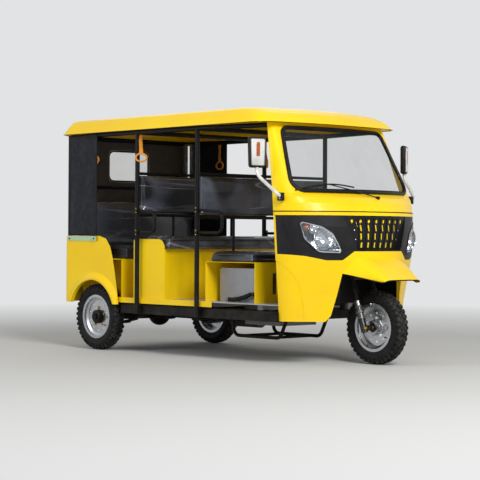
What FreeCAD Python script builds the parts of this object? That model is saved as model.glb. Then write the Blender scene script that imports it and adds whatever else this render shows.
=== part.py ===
import FreeCAD, Part
import os
import Sketcher
from math import cos, hypot, radians, sin, sqrt, tan
from types import SimpleNamespace

# Auto rickshaw with a three-wheeled chassis, open sides and three bench seats.
# Millimetres, +X forward, +Y left, +Z up, ground at Z = 0.
# Lengths along the vehicle count forward from the rear axle.
# AHEAD moves every piece so that the middle of the overall length lies at X = 0.

Vec = FreeCAD.Vector
doc = FreeCAD.newDocument("auto_rickshaw")

# name, value in millimetres or degrees
SIZES = [
    # running gear
    ("Wheelbase", 2351), ("Track", 1187), ("TyreRadius", 255), ("TyreWidth", 108),
    ("TyreWall", 9), ("FlangeRadius", 168), ("BeadRadius", 152), ("WellRadius", 132),
    ("RimHalf", 44), ("RimWall", 4), ("HubRadius", 48), ("HubHalf", 46),
    ("DrumRadius", 92), ("DrumDeep", 52), ("AxlePin", 9), ("RunClear", 0.3), ("StubRadius", 17),
    ("RearOverhang", 432), ("AxleTube", 30), ("DiffRadius", 88), ("PropRadius", 24),
    ("SpringSpread", 450), ("SpringWide", 50), ("SpringLeaf", 8), ("SpringHalf", 345), ("SpringRise", 58),
    # steering, measured from the front axle's height up the steering axis
    ("Rake", 19), ("ForkLead", 36), ("ForkSpread", 96), ("SliderRadius", 24), ("LegRadius", 17),
    ("SliderTop", 190), ("ClampAt", 352), ("ClampDeep", 26), ("HeadFrom", 430), ("HeadLong", 190),
    ("HeadRadius", 32), ("StemRadius", 14), ("BarAt", 865), ("BarHalf", 330), ("BarRadius", 12),
    # chassis
    ("RailBase", 295), ("RailDeep", 68), ("RailWide", 40), ("RailSpread", 450), ("SideSpread", 600),
    ("RailRear", -385), ("RailFront", 1984), ("SideRear", 285), ("CrossWide", 50), ("TowHole", 10),
    ("FloorTop", 410), ("FloorPlate", 3), ("FloorHalf", 628), ("FloorFront", 1983),
    ("SillFace", 637), ("SillRear", 232), ("SillFront", 1340), ("SillWall", 4),
    # pillars and roof
    ("CabHalf", 655), ("TubeRadius", 17.5), ("PillarB", 1202), ("PillarC", 521), ("PillarD", -385),
    ("PillarDHalf", 600), ("RoofEdge", 1672), ("RoofHalf", 695), ("RoofFront", 1994), ("RoofRear", -415),
    ("RoofWall", 4), ("RoofRib", 12), ("RoofHem", 52), ("RoofCorner", 90), ("SoffitFrom", 1835),
    # cab front
    ("CabWall", 5), ("MaskSide", 2004), ("MaskTop", 1026), ("BeltProud", 4), ("BeltDeep", 20),
    ("GrooveLow", 1049), ("GrooveDeep", 2.5), ("CreaseDeep", 3), ("GrilleWall", 4), ("BackingGap", 12),
    ("SealProud", 5), ("GlassThick", 5), ("LampLip", 4),
    # rear body and seats
    ("BodyHalf", 660), ("BodyWall", 4), ("BodyBase", 360), ("BodyTop", 878), ("BodyCorner", 85),
    ("ArchRadius", 285), ("FlareOut", 28), ("RearFace", -412),
    ("RearSeatFront", 300), ("RearSeatTop", 704), ("WheelBoxHalf", 516),
    ("BenchRear", 448), ("BenchFront", 803), ("BenchTop", 782), ("BenchHalf", 620), ("PlateThick", 4),
    ("DriverRear", 1180), ("DriverFront", 1702), ("DriverTop", 697), ("DriverHalf", 552),
    ("RestThick", 42), ("CurtainThick", 4), ("CurtainFront", 51),
    ("WindowHalf", 200), ("WindowBase", 1328), ("WindowTop", 1562),
]

sheet = doc.addObject("Spreadsheet::Sheet", "Sizes")
for row, (alias, value) in enumerate(SIZES, start=1):
    sheet.set(f"A{row}", alias)
    sheet.set(f"B{row}", str(value))
    sheet.setAlias(f"B{row}", alias)
doc.recompute()
size = SimpleNamespace(**{alias: float(sheet.get(alias)) for alias, value in SIZES})
AHEAD = "(Sizes.RearOverhang - Sizes.Wheelbase - Sizes.TyreRadius) / 2"
nodes = []


def worked(text):
    """Spell out sizes in an expression by their sheet name."""
    for alias, value in sorted(SIZES, key=lambda pair: -len(pair[0])):
        text = text.replace(f"@{alias}", f"Sizes.{alias}")
    return text


def number(text):
    return float(sheet.evalExpression(worked(text)))


# Sketched bodies


def new_body(label):
    body = doc.addObject("PartDesign::Body", label)
    body.Label = label
    body.setExpression("Placement.Base.x", AHEAD)
    nodes.append(body)
    return body


def outline(body, role, corners, rise="0"):
    """Closed outline through corners given as pairs of expressions."""
    sketch = body.newObject("Sketcher::SketchObject", f"{body.Label}_outline")
    plane = next(item for item in body.Origin.OriginFeatures if item.Role == role)
    sketch.AttachmentSupport = (plane, [""])
    sketch.MapMode = "FlatFace"
    if rise != "0":
        sketch.setExpression("AttachmentOffset.Base.z", worked(rise))
    places = [Vec(number(across), number(up), 0) for across, up in corners]
    count = len(corners)
    for index in range(count):
        sketch.addGeometry(Part.LineSegment(places[index], places[(index + 1) % count]))
    for index in range(count):
        sketch.addConstraint(Sketcher.Constraint("Coincident", index, 2, (index + 1) % count, 1))
    for index, (across, up) in enumerate(corners):
        for kind, text in (("DistanceX", across), ("DistanceY", up)):
            held = sketch.addConstraint(Sketcher.Constraint(kind, -1, 1, index, 1, number(text)))
            sketch.setExpression(f"Constraints[{held}]", worked(text))
    return sketch


def circle(body, role, across, up, radius, rise="0"):
    sketch = body.newObject("Sketcher::SketchObject", f"{body.Label}_circle")
    plane = next(item for item in body.Origin.OriginFeatures if item.Role == role)
    sketch.AttachmentSupport = (plane, [""])
    sketch.MapMode = "FlatFace"
    if rise != "0":
        sketch.setExpression("AttachmentOffset.Base.z", worked(rise))
    sketch.addGeometry(Part.Circle(Vec(number(across), number(up), 0), Vec(0, 0, 1), number(radius)))
    for kind, text in (("DistanceX", across), ("DistanceY", up)):
        held = sketch.addConstraint(Sketcher.Constraint(kind, -1, 1, 0, 3, number(text)))
        sketch.setExpression(f"Constraints[{held}]", worked(text))
    held = sketch.addConstraint(Sketcher.Constraint("Radius", 0, number(radius)))
    sketch.setExpression(f"Constraints[{held}]", worked(radius))
    return sketch


def pad(body, sketch, length, both=False):
    feature = body.newObject("PartDesign::Pad", f"{body.Label}_pad")
    feature.Profile = sketch
    feature.SideType = "Symmetric" if both else "One side"
    feature.setExpression("Length", worked(length))
    doc.recompute()
    return feature


def pocket(body, sketch, length, both=False, reverse=False):
    before = body.Shape.Volume
    feature = body.newObject("PartDesign::Pocket", f"{body.Label}_pocket")
    feature.Profile = sketch
    feature.SideType = "Symmetric" if both else "One side"
    feature.Reversed = reverse
    feature.setExpression("Length", worked(length))
    doc.recompute()
    if body.Shape.Volume >= before:
        raise ValueError(f"{body.Label}: a pocket cut nothing")
    return feature


def revolve(body, sketch):
    feature = body.newObject("PartDesign::Revolution", f"{body.Label}_turned")
    feature.Profile = sketch
    feature.ReferenceAxis = (sketch, ["H_Axis"])
    feature.Angle = 360
    doc.recompute()
    return feature


def round_edges(body, radius, wanted):
    """Fillet the edges of the tip whose ends pass the test."""
    tip = body.Tip
    names = []
    for index, edge in enumerate(tip.Shape.Edges, start=1):
        if len(edge.Vertexes) == 2 and wanted(edge.Vertexes[0].Point, edge.Vertexes[1].Point):
            names.append(f"Edge{index}")
    feature = body.newObject("PartDesign::Fillet", f"{body.Label}_round")
    feature.Base = (tip, names)
    feature.setExpression("Radius", worked(radius))
    doc.recompute()
    return feature


def along(axis):
    """Test for an edge that runs along one axis."""
    def wanted(first, last):
        step = last - first
        spans = [abs(step.x), abs(step.y), abs(step.z)]
        return spans["xyz".index(axis)] > 0.999 * step.Length
    return wanted


def block(label, low, high, radius=None, axis=None):
    """Padded box between two corners given as expressions."""
    body = new_body(label)
    corners = [(low[0], low[1]), (high[0], low[1]), (high[0], high[1]), (low[0], high[1])]
    pad(body, outline(body, "XY_Plane", corners, rise=low[2]), f"({high[2]}) - ({low[2]})")
    if radius:
        round_edges(body, radius, along(axis))
    return body


# Shapes for the pressed, bent and swept pieces


def keep(label, shape):
    piece = doc.addObject("Part::Feature", label)
    piece.Label = label
    piece.Shape = shape
    piece.setExpression("Placement.Base.x", AHEAD)
    nodes.append(piece)
    return piece


def joined(shapes):
    whole = shapes[0].multiFuse(shapes[1:]) if len(shapes) > 1 else shapes[0]
    return whole.removeSplitter()


def box(low, high):
    return Part.makeBox(high[0] - low[0], high[1] - low[1], high[2] - low[2], Vec(*low))


def rod(first, last, radius):
    run = last - first
    return Part.makeCylinder(radius, run.Length, first, run)


def mirrored(shape):
    return shape.mirror(Vec(0, 0, 0), Vec(0, 1, 0))


def path(points, radius):
    """Lines joined by tangent arcs of one bend radius, or less where a run is short."""
    edges = []
    start = points[0]
    for before, corner, after in zip(points, points[1:], points[2:]):
        back = (before - corner)
        ahead = (after - corner)
        room = 0.49 * min(back.Length, ahead.Length)
        back.normalize()
        ahead.normalize()
        half = back.getAngle(ahead) / 2
        setback = min(radius / tan(half), room)
        first = corner + back * setback
        last = corner + ahead * setback
        middle = (back + ahead).normalize()
        bend = setback * tan(half)
        centre = corner + middle * (bend / sin(half))
        if (first - start).Length > 1e-6:
            edges.append(Part.LineSegment(start, first).toShape())
        edges.append(Part.Arc(first, centre - middle * bend, last).toShape())
        start = last
    edges.append(Part.LineSegment(start, points[-1]).toShape())
    return Part.Wire(edges)


def tube(points, radius, bend):
    """Round bar along straight runs and arcs."""
    route = path(points, bend)
    ring = Part.Wire(Part.Circle(points[0], points[1] - points[0], radius).toShape())
    return route.makePipeShell([ring], True, False)


def rounded(points, radius):
    """Closed wire with every corner rounded by the same radius, or by its own."""
    count = len(points)
    radii = radius if isinstance(radius, (list, tuple)) else [radius] * count
    edges = []
    joints = []
    for index in range(count):
        corner = points[index]
        back = (points[index - 1] - corner).normalize()
        ahead = (points[(index + 1) % count] - corner).normalize()
        half = back.getAngle(ahead) / 2
        if radii[index] < 1e-6:
            joints.append((corner, None, corner))
            continue
        setback = radii[index] / tan(half)
        middle = (back + ahead).normalize()
        near = corner + middle * (radii[index] / sin(half) - radii[index])
        joints.append((corner + back * setback, near, corner + ahead * setback))
    for index in range(count):
        first, near, last = joints[index]
        if near is not None:
            edges.append(Part.Arc(first, near, last).toShape())
        after = joints[(index + 1) % count][0]
        if (after - last).Length > 1e-6:
            edges.append(Part.LineSegment(last, after).toShape())
    return Part.Wire(edges)


def across_prism(outline_yz, radius, start, end):
    """Prism along X over an outline of (y, z) points."""
    points = [Vec(start, y, z) for y, z in outline_yz]
    return Part.Face(rounded(points, radius)).extrude(Vec(end - start, 0, 0))


def side_prism(outline_xz, radius, start, end):
    """Prism along Y over an outline of (x, z) points."""
    points = [Vec(x, start, z) for x, z in outline_xz]
    return Part.Face(rounded(points, radius)).extrude(Vec(0, end - start, 0))


# Wheels


def minus(pairs):
    """The same profile on the other side of the wheel's middle, in reverse."""
    return [(f"-({width})", radius) for width, radius in reversed(pairs)]


def wheel_body(label, ahead, side):
    body = new_body(label)
    body.setExpression("Placement.Base.x", f"{AHEAD} + {worked(ahead)}")
    body.setExpression("Placement.Base.y", worked(side))
    body.setExpression("Placement.Base.z", "Sizes.TyreRadius")
    return body


def make_tyre(name, ahead, side):
    body = wheel_body(f"{name}_tyre", ahead, side)
    bead = "@RimHalf - @RimWall - 0.3"
    # half width and radius, bead to crown outside, then crown to bead inside
    outer = [
        (bead, "@BeadRadius + 0.3"), (bead, "@FlangeRadius + 3"),
        ("@TyreWidth / 2", "(@TyreRadius + @FlangeRadius) / 2"),
        ("@TyreWidth / 2 - 4", "@TyreRadius - 20"), ("@TyreWidth / 2 - 18", "@TyreRadius - 4"),
        ("@TyreWidth / 5", "@TyreRadius"),
    ]
    inner = [
        ("@TyreWidth / 2 - 22", "@TyreRadius - @TyreWall - 6"),
        ("@TyreWidth / 2 - @TyreWall", "(@TyreRadius + @FlangeRadius) / 2"),
        (f"{bead} - @TyreWall", "@BeadRadius + 0.3"),
    ]
    revolve(body, outline(body, "YZ_Plane", outer + minus(outer) + minus(inner) + inner))


def make_rim(name, ahead, side, outward, disc, bore, drum):
    """Well-base rim with its disc and hub; outward is +1 or -1 along Y."""
    body = wheel_body(f"{name}_rim", ahead, side)
    lip = "@RimHalf - @RimWall"
    barrel = [
        ("@RimHalf", "@BeadRadius - @RimWall"), ("@RimHalf", "@FlangeRadius"), (lip, "@FlangeRadius"),
        (lip, "@BeadRadius"), ("@RimHalf / 2", "@BeadRadius"), ("@RimHalf / 3", "@WellRadius"),
    ]
    inside = [("@RimHalf / 2 + @RimWall", "@BeadRadius - @RimWall"), ("@RimHalf / 3 + 3", "@WellRadius - @RimWall")]
    web = [(f"{disc} + 2.5", "@WellRadius - @RimWall"), (f"{disc} + 2.5", "@HubRadius"),
           ("@HubHalf", "@HubRadius"), ("@HubHalf", bore)]
    back = [(drum[0], bore), (drum[0], drum[1]), (f"{disc} - 2.5", drum[1]),
            (f"{disc} - 2.5", "@WellRadius - @RimWall")]
    loop = barrel + minus(barrel) + minus(inside[::-1]) + back[::-1] + web[::-1] + inside[::-1]
    loop = [(f"{outward} * ({width})", radius) for width, radius in loop]
    revolve(body, outline(body, "YZ_Plane", loop))
    hole = circle(body, "XZ_Plane", f"({drum[1]} + @WellRadius - @RimWall) / 2", "0", "@RimWall * 2.5",
                  rise=f"{-outward} * ({disc})")
    cut = pocket(body, hole, "20", both=True)
    ring = body.newObject("PartDesign::PolarPattern", f"{body.Label}_holes")
    ring.Originals = [cut]
    ring.Axis = (hole, ["N_Axis"])
    ring.Occurrences = 5
    return body, ring


# name, distance ahead, side, outward, disc offset, bore, inner end and radius of the drum
WHEELS = [
    ("front", "@Wheelbase", "0", 1, "0", "@AxlePin + @RunClear", ("-@HubHalf", "@HubRadius")),
    ("rear_right", "0", "-@Track / 2", -1, "12", "@StubRadius + @RunClear", ("-@DrumDeep", "@DrumRadius")),
    ("rear_left", "0", "@Track / 2", 1, "12", "@StubRadius + @RunClear", ("-@DrumDeep", "@DrumRadius")),
]
for name, ahead, side, outward, disc, bore, drum in WHEELS:
    make_tyre(name, ahead, side)
    make_rim(name, ahead, side, outward, disc, bore, drum)
doc.recompute()

# Rear axle, springs and drive


def lengthways(first, last, y, z, wide, deep):
    return box((first, y - wide / 2, z), (last, y + wide / 2, z + deep))


half_track = size.Track / 2
axle_end = half_track - size.DrumDeep - 6
axle_height = size.TyreRadius
axle = [
    rod(Vec(0, -axle_end, axle_height), Vec(0, axle_end, axle_height), size.AxleTube),
    rod(Vec(0, -half_track - size.HubHalf - 6, axle_height), Vec(0, half_track + size.HubHalf + 6, axle_height),
        size.StubRadius),
    Part.makeSphere(size.DiffRadius, Vec(0, 0, axle_height)),
    rod(Vec(0, 0, axle_height + 4), Vec(size.DiffRadius + 60, 0, axle_height + 4), 38),
]
for side in (-1, 1):
    plate = rod(Vec(0, side * (axle_end - 4), axle_height), Vec(0, side * (axle_end + 2), axle_height), size.DrumRadius)
    nut = rod(Vec(0, side * (half_track + size.HubHalf + 1), axle_height),
              Vec(0, side * (half_track + size.HubHalf + 16), axle_height), size.StubRadius + 6)
    pad_low = box((-50, side * size.SpringSpread - 28, axle_height - size.AxleTube - 6),
                  (50, side * size.SpringSpread + 28, axle_height - size.AxleTube / 2))
    axle += [plate, nut, pad_low]
spring_top = axle_height - size.AxleTube - 6
leaves = []
# half length of each leaf as a share of the main leaf, and its place below the main leaf
for order, share in enumerate((1.0, 0.74, 0.48)):
    top = spring_top - order * size.SpringLeaf
    reach = size.SpringHalf * share
    rise = size.SpringRise * share * share
    upper = [(-reach, top + rise), (0, top), (reach, top + rise)]
    arc_up = Part.Arc(*[Vec(x, 0, z) for x, z in upper]).toShape()
    arc_low = Part.Arc(*[Vec(x, 0, z - size.SpringLeaf) for x, z in reversed(upper)]).toShape()
    ends = [Part.LineSegment(Vec(reach, 0, top + rise), Vec(reach, 0, top + rise - size.SpringLeaf)).toShape(),
            Part.LineSegment(Vec(-reach, 0, top + rise - size.SpringLeaf), Vec(-reach, 0, top + rise)).toShape()]
    face = Part.Face(Part.Wire([arc_up, ends[0], arc_low, ends[1]]))
    leaves.append(face.extrude(Vec(0, size.SpringWide, 0)))
eye_height = spring_top + size.SpringRise
eyes = []
for end in (-1, 1):
    spot = Vec(end * (size.SpringHalf + 8), 0, eye_height)
    eyes.append(rod(spot, spot + Vec(0, size.SpringWide, 0), 14))
low = spring_top - 3 * size.SpringLeaf
eyes.append(box((-48, -4, low - 8), (48, size.SpringWide + 4, spring_top)))
one_spring = joined(leaves + eyes)
springs = []
for side in (-1, 1):
    spring = one_spring.copy()
    spring.translate(Vec(0, side * size.SpringSpread - size.SpringWide / 2, 0))
    springs.append(spring)
keep("leaf_springs", Part.Compound(springs))
keep("rear_axle", joined(axle).cut(Part.Compound(springs)))

# Chassis

rail_top = size.RailBase + size.RailDeep
frame = []
for side in (-1, 1):
    frame.append(lengthways(size.RailRear, size.RailFront, side * size.RailSpread, size.RailBase,
                            size.RailWide, size.RailDeep))
    frame.append(lengthways(size.SideRear, size.RailFront, side * size.SideSpread, size.RailBase,
                            size.RailWide, size.RailDeep))
    for end in (-1, 1):
        hanger_x = end * (size.SpringHalf + 8)
        for cheek in (-1, 1):
            cheek_y = side * size.RailSpread + cheek * (size.SpringWide / 2 + 3.5)
            frame.append(box((hanger_x - 18, cheek_y - 3, eye_height - 16),
                             (hanger_x + 18, cheek_y + 3, size.RailBase + 8)))
            first, last = sorted((side * size.RailSpread + cheek * 10, cheek_y))
            frame.append(box((hanger_x - 18, first, size.RailBase), (hanger_x + 18, last, size.RailBase + 8)))
# middle of each cross member and its half length
cross_members = [(size.RailRear + 25, size.RailSpread), (size.SideRear + 25, size.SideSpread),
                 (800, size.SideSpread), (1105, size.SideSpread), (1675, size.SideSpread),
                 (size.RailFront - 25, size.SideSpread)]
for x, half in cross_members:
    frame.append(box((x - size.CrossWide / 2, -half, size.RailBase + 6), (x + size.CrossWide / 2, half, rail_top)))
rake = radians(size.Rake)
foot = Vec(size.Wheelbase - size.ForkLead, 0, size.TyreRadius)
up_axis = Vec(-sin(rake), 0, cos(rake))


def on_axis(distance, side=0.0, lead=0.0):
    """Point beside the steering axis, from its foot at the front axle's height."""
    return foot + up_axis * distance + Vec(cos(rake) * lead, side, sin(rake) * lead)


head_low = on_axis(size.HeadFrom)
head_high = on_axis(size.HeadFrom + size.HeadLong)
head = rod(head_low, head_high, size.HeadRadius)
head_bore = rod(head_low - up_axis, head_high + up_axis, size.StemRadius + 1)
post_x = size.RailFront - 22
for side in (-1, 1):
    y = side * 62
    shoulder = Vec(post_x, y, head_low.z + 70)
    frame.append(rod(Vec(post_x, y, size.RailBase + 20), shoulder, 20))
    frame.append(Part.makeSphere(20, shoulder))
    frame.append(rod(shoulder, on_axis(size.HeadFrom + 95, side * 14), 20))
frame.append(head)
tow_x = size.RailRear - 23
frame.append(box((tow_x - 22, -26, rail_top - 62), (size.RailRear + 10, 26, rail_top - 50)))
tow_hole = rod(Vec(tow_x, 0, rail_top - 70), Vec(tow_x, 0, rail_top - 40), size.TowHole)
chassis = joined(frame).cut(head_bore).cut(tow_hole)
keep("chassis_frame", chassis)

# Engine, drive line, exhaust and radiator

block("engine_block", ("1192", "-190", "235"), ("1590", "190", "628"), "30", "z")
prop_high = axle_height + 4
prop = [rod(Vec(size.DiffRadius + 60, 0, prop_high), Vec(1192, 0, prop_high), size.PropRadius),
        rod(Vec(size.DiffRadius + 60, 0, prop_high), Vec(size.DiffRadius + 90, 0, prop_high), 34),
        rod(Vec(1162, 0, prop_high), Vec(1192, 0, prop_high), 34)]
keep("propeller_shaft", joined(prop))
pipe = tube([Vec(1300, 190.2, 330), Vec(1300, 285, 330), Vec(1240, 300, 240), Vec(860, 300, 232)], 18, 45)
muffler = rod(Vec(870, 300, 232), Vec(560, 300, 232), 58)
outlet = tube([Vec(562, 300, 232), Vec(480, 300, 232), Vec(400, 300, 215)], 17, 40)
strap = box((700, 280, 232), (724, 320, size.RailBase + 20))
strap2 = box((700, 300, size.RailBase + 6), (724, size.RailSpread - size.RailWide / 2, size.RailBase + 20))
keep("exhaust", joined([pipe, muffler, outlet, strap, strap2]))
skid_z = 150
skid = []
for side in (-1, 1):
    skid.append(tube([Vec(1105, side * 205, size.RailBase + 6), Vec(1105, side * 205, skid_z),
                      Vec(1600, side * 205, skid_z), Vec(1675, side * 205, size.RailBase + 6)], 13, 60))
for x in (1200, 1520):
    skid.append(rod(Vec(x, -205, skid_z), Vec(x, 205, skid_z), 11))
keep("skid_bar", joined(skid).cut(chassis))
radiator = block("radiator", ("1245", "-468", "@FloorTop"), ("1615", "-430", "652"), "22", "y")
core = [("1262", "@FloorTop + 20"), ("1530", "@FloorTop + 20"), ("1530", "628"), ("1262", "628")]
pocket(radiator, outline(radiator, "XZ_Plane", core, rise="462"), "20")
tank = [("1545", "@FloorTop + 14"), ("1563", "@FloorTop + 14"), ("1563", "634"), ("1545", "634")]
pocket(radiator, outline(radiator, "XZ_Plane", tank, rise="462"), "20")
hose = [Vec(1592, -488, 470), Vec(1560, -520, 450), Vec(1490, -520, 436), Vec(1420, -500, 428), Vec(1360, -498, 428)]
neck = rod(Vec(1592, -468.3, 470), Vec(1592, -492, 470), 15)
keep("radiator_hose", joined([tube(hose, 15, 28), neck, Part.makeSphere(15, hose[0])]))

# Floor and sills

floor = new_body("floor_pan")
edge = "@FloorHalf"
front_floor = [("@FloorFront", edge), ("@FloorFront", "575"), ("2085", "528"), ("2150", "430"), ("2205", "296"),
               ("1998", "296"), ("1998", "88"), ("@RailFront - 50", "88")]
right_floor = [(x, f"-({y})") for x, y in reversed(front_floor)]
floor_outline = [("@RailRear", "505"), ("@RearSeatFront + 4", "505"), ("@RearSeatFront + 4", edge)]
left_half = floor_outline + front_floor
right_half = [(x, f"-({y})") for x, y in reversed(left_half)]
pad(floor, outline(floor, "XY_Plane", left_half + right_half, rise="@FloorTop - @FloorPlate"), "@FloorPlate")
hole = outline(floor, "XY_Plane", [("1135", "-300"), ("1660", "-300"), ("1660", "300"), ("1135", "300")],
               rise="@FloorTop")
pocket(floor, hole, "@FloorPlate + 1")
rib_span = "@RailSpread + 40"
# rear edge, front edge, right end and left end of each rib under the floor
ribs = [("@RailRear + 10", "-80", f"-({rib_span})", rib_span),
        ("@SideRear", "@SideRear + @CrossWide", f"-({rib_span})", rib_span),
        ("775", "825", f"-({rib_span})", rib_span), ("1080", "1130", f"-({rib_span})", rib_span),
        ("1665", "1715", f"-({rib_span})", rib_span),
        ("@RailFront - @CrossWide", "@RailFront - 8", f"-({rib_span})", "-100"),
        ("@RailFront - @CrossWide", "@RailFront - 8", "100", rib_span)]
for back, front, right, left in ribs:
    pad(floor, outline(floor, "XY_Plane", [(back, right), (front, right), (front, left), (back, left)],
                       rise="@RailBase + @RailDeep"), "@FloorTop - @FloorPlate - @RailBase - @RailDeep")

sill_shapes = []
for side in (-1, 1):
    near = side * size.SillFace
    inner = side * (size.SillFace - size.SillWall)
    low_y, high_y = min(near, inner), max(near, inner)
    face = box((size.SillRear, low_y, 374), (size.SillFront, high_y, size.FloorTop + 4))
    lip_low, lip_high = sorted((side * (size.SillFace - 12), near))
    lip = box((size.SillRear, lip_low, size.FloorTop), (size.SillFront, lip_high, size.FloorTop + 4))
    sill_shapes.append(face.fuse(lip).removeSplitter())
keep("side_sills", Part.Compound(sill_shapes))

# Rear body

rear = new_body("rear_body")
nose = "@RearSeatFront + 10"
pad(rear, outline(rear, "XY_Plane", [("@RearFace", "-@BodyHalf"), (nose, "-@BodyHalf"), (nose, "@BodyHalf"),
                                     ("@RearFace", "@BodyHalf")], rise="@BodyBase"), "@BodyTop - @BodyBase")
within = "@BodyHalf - @BodyWall"
pocket(rear, outline(rear, "XY_Plane", [
    ("@RearFace + @BodyWall", f"-({within})"), ("@RearSeatFront + 20", f"-({within})"),
    ("@RearSeatFront + 20", within), ("@RearFace + @BodyWall", within)],
    rise="@BodyTop"), "@BodyTop - @BodyBase")


def upright_near(place):
    """Test for an upright edge at one distance along the vehicle."""
    def wanted(first, last):
        return along("z")(first, last) and abs(first.x - place) < 0.5
    return wanted


round_edges(rear, "@BodyCorner - @BodyWall", upright_near(size.RearFace + size.BodyWall))
round_edges(rear, "@BodyCorner", upright_near(size.RearFace))
for side in (1, -1):
    flare = [("@BodyHalf - 1", "@ArchRadius + 56"), ("@BodyHalf", "@ArchRadius + 56"),
             ("@BodyHalf + @FlareOut", "@ArchRadius + 16"), ("@BodyHalf + @FlareOut", "@ArchRadius"),
             ("@BodyHalf - 1", "@ArchRadius")]
    ring = [(f"{side} * ({y})", f"{radius}") for y, radius in flare]
    sketch = outline(rear, "YZ_Plane", ring)
    sketch.setExpression("AttachmentOffset.Base.y", "Sizes.TyreRadius")
    revolve(rear, sketch)
arch = circle(rear, "XZ_Plane", "0", "@TyreRadius", "@ArchRadius")
pocket(rear, arch, "4 * @BodyHalf", both=True)
under = [("-500", "-200"), ("500", "-200"), ("500", "@BodyBase"), ("-500", "@BodyBase")]
pocket(rear, outline(rear, "XZ_Plane", under), "4 * @BodyHalf", both=True)
front_edge = [("@RearSeatFront", "@BodyBase - 1"), ("@RearSeatFront - 14", "447"), ("@RearSeatFront - 40", "575"),
              ("225", "720"), ("198", "795"), ("142", "858"), ("60", "@BodyTop + 1"), ("500", "@BodyTop + 1"),
              ("500", "@BodyBase - 1")]
pocket(rear, outline(rear, "XZ_Plane", front_edge), "4 * @BodyHalf", both=True)

# Seats


def panels(boxes, cut=()):
    whole = joined([box(low, high) for low, high in boxes])
    for low, high in cut:
        whole = whole.cut(box(low, high))
    return whole


thick = size.PlateThick
floor_top = size.FloorTop
inner_side = size.BodyHalf - size.BodyWall - 1
seat_rear = size.RearFace + size.BodyCorner
seat_front = size.RearSeatFront
seat_top = size.RearSeatTop
rear_seat = [
    ((seat_rear, -inner_side, seat_top - thick), (seat_front, inner_side, seat_top)),
    ((seat_front - thick, -size.SillFace + 12, floor_top), (seat_front, size.SillFace - 12, seat_top)),
]
for side in (-1, 1):
    near, far = sorted((side * size.WheelBoxHalf, side * (size.WheelBoxHalf - thick)))
    rear_seat.append(((seat_rear, near, floor_top), (seat_front, far, seat_top)))
keep("rear_seat_base", panels(rear_seat))

bench = [
    ((size.BenchRear, -size.BenchHalf, size.BenchTop - thick), (size.BenchFront - 22, size.BenchHalf, size.BenchTop)),
    ((size.BenchFront - 22 - thick, -size.BenchHalf, floor_top), (size.BenchFront - 22, size.BenchHalf, size.BenchTop)),
    ((size.BenchRear, -size.BenchHalf, floor_top), (size.BenchRear + thick, size.BenchHalf, size.BenchTop)),
]
bench_shape = panels(bench)
side_outline = [(size.BenchRear - 5, floor_top), (size.BenchFront, floor_top), (size.BenchFront, size.BenchTop + 74),
                (size.BenchRear - 5, size.BenchTop + 74)]
for side in (-1, 1):
    first, last = sorted((side * size.BenchHalf, side * (size.BenchHalf + thick)))
    cheek = side_prism(side_outline, [0, 0, 70, 24], first, last)
    outer = side * (size.BenchHalf + thick)
    first, last = sorted((outer - side * 1.5, outer + side))
    line_rings = []
    for inset in (22, 28):
        back, front, top = size.BenchRear - 5 + inset, size.BenchFront - inset, size.BenchTop + 74 - inset
        ring = [(back, floor_top - 5), (front, floor_top - 5), (front, top), (back, top)]
        line_rings.append(side_prism(ring, [0, 0, 70 - inset, 12], first, last))
    bench_shape = bench_shape.fuse(cheek.cut(line_rings[0].cut(line_rings[1])))
keep("middle_bench", bench_shape.removeSplitter())

driver = [
    ((size.DriverRear, -size.DriverHalf, size.DriverTop - thick), (size.DriverFront, size.DriverHalf, size.DriverTop)),
    ((size.DriverFront - thick, -size.DriverHalf, floor_top), (size.DriverFront, size.DriverHalf, size.DriverTop)),
    ((size.DriverRear, -size.DriverHalf, floor_top), (size.DriverRear + thick, size.DriverHalf, size.DriverTop)),
    ((size.DriverRear, size.DriverHalf - thick, floor_top), (size.DriverFront, size.DriverHalf, size.DriverTop)),
]
slot = ((size.DriverFront - 10, -380, 470), (size.DriverFront + 10, -340, 620))
keep("driver_seat_base", panels(driver, [slot]))


def cushion(label, low, high, radius="26"):
    body = block(label, low, high)
    long_edges = lambda first, last: along("y")(first, last)
    round_edges(body, radius, long_edges)
    return body


cushion("rear_cushion", ("-200", "-@WheelBoxHalf - 90", "@RearSeatTop"), ("332", "@WheelBoxHalf + 90", "807"))
cushion("middle_cushion", ("@PillarC + 16", "-@BenchHalf + 6", "@BenchTop"),
        ("@BenchFront + 47", "@BenchHalf - 6", "@BenchTop + 98"))
cushion("driver_cushion", ("@PillarB + 14", "-@DriverHalf", "@DriverTop"),
        ("@DriverFront - 22", "@DriverHalf", "@DriverTop + 78"))

rest = new_body("rear_backrest")
pad(rest, outline(rest, "XZ_Plane", [("-330", "@RearSeatTop"), ("-202", "@RearSeatTop"), ("-202", "830"),
                                     ("-268", "1160"), ("-322", "1168")]), "2 * @PillarDHalf - 40", both=True)
round_edges(rest, "14", lambda first, last: along("y")(first, last) and first.z > 810)
for label, pillar, low, high in (("middle_backrest", "@PillarC", "1047", "1335"),
                                 ("driver_backrest", "@PillarB", "1028", "1315")):
    spread = "@CabHalf - @TubeRadius - 0.3"
    block(label, (f"{pillar} - @RestThick / 2", f"-({spread})", low), (f"{pillar} + @RestThick / 2", spread, high),
          "12", "y")

# Pillars and roof rails

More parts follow.
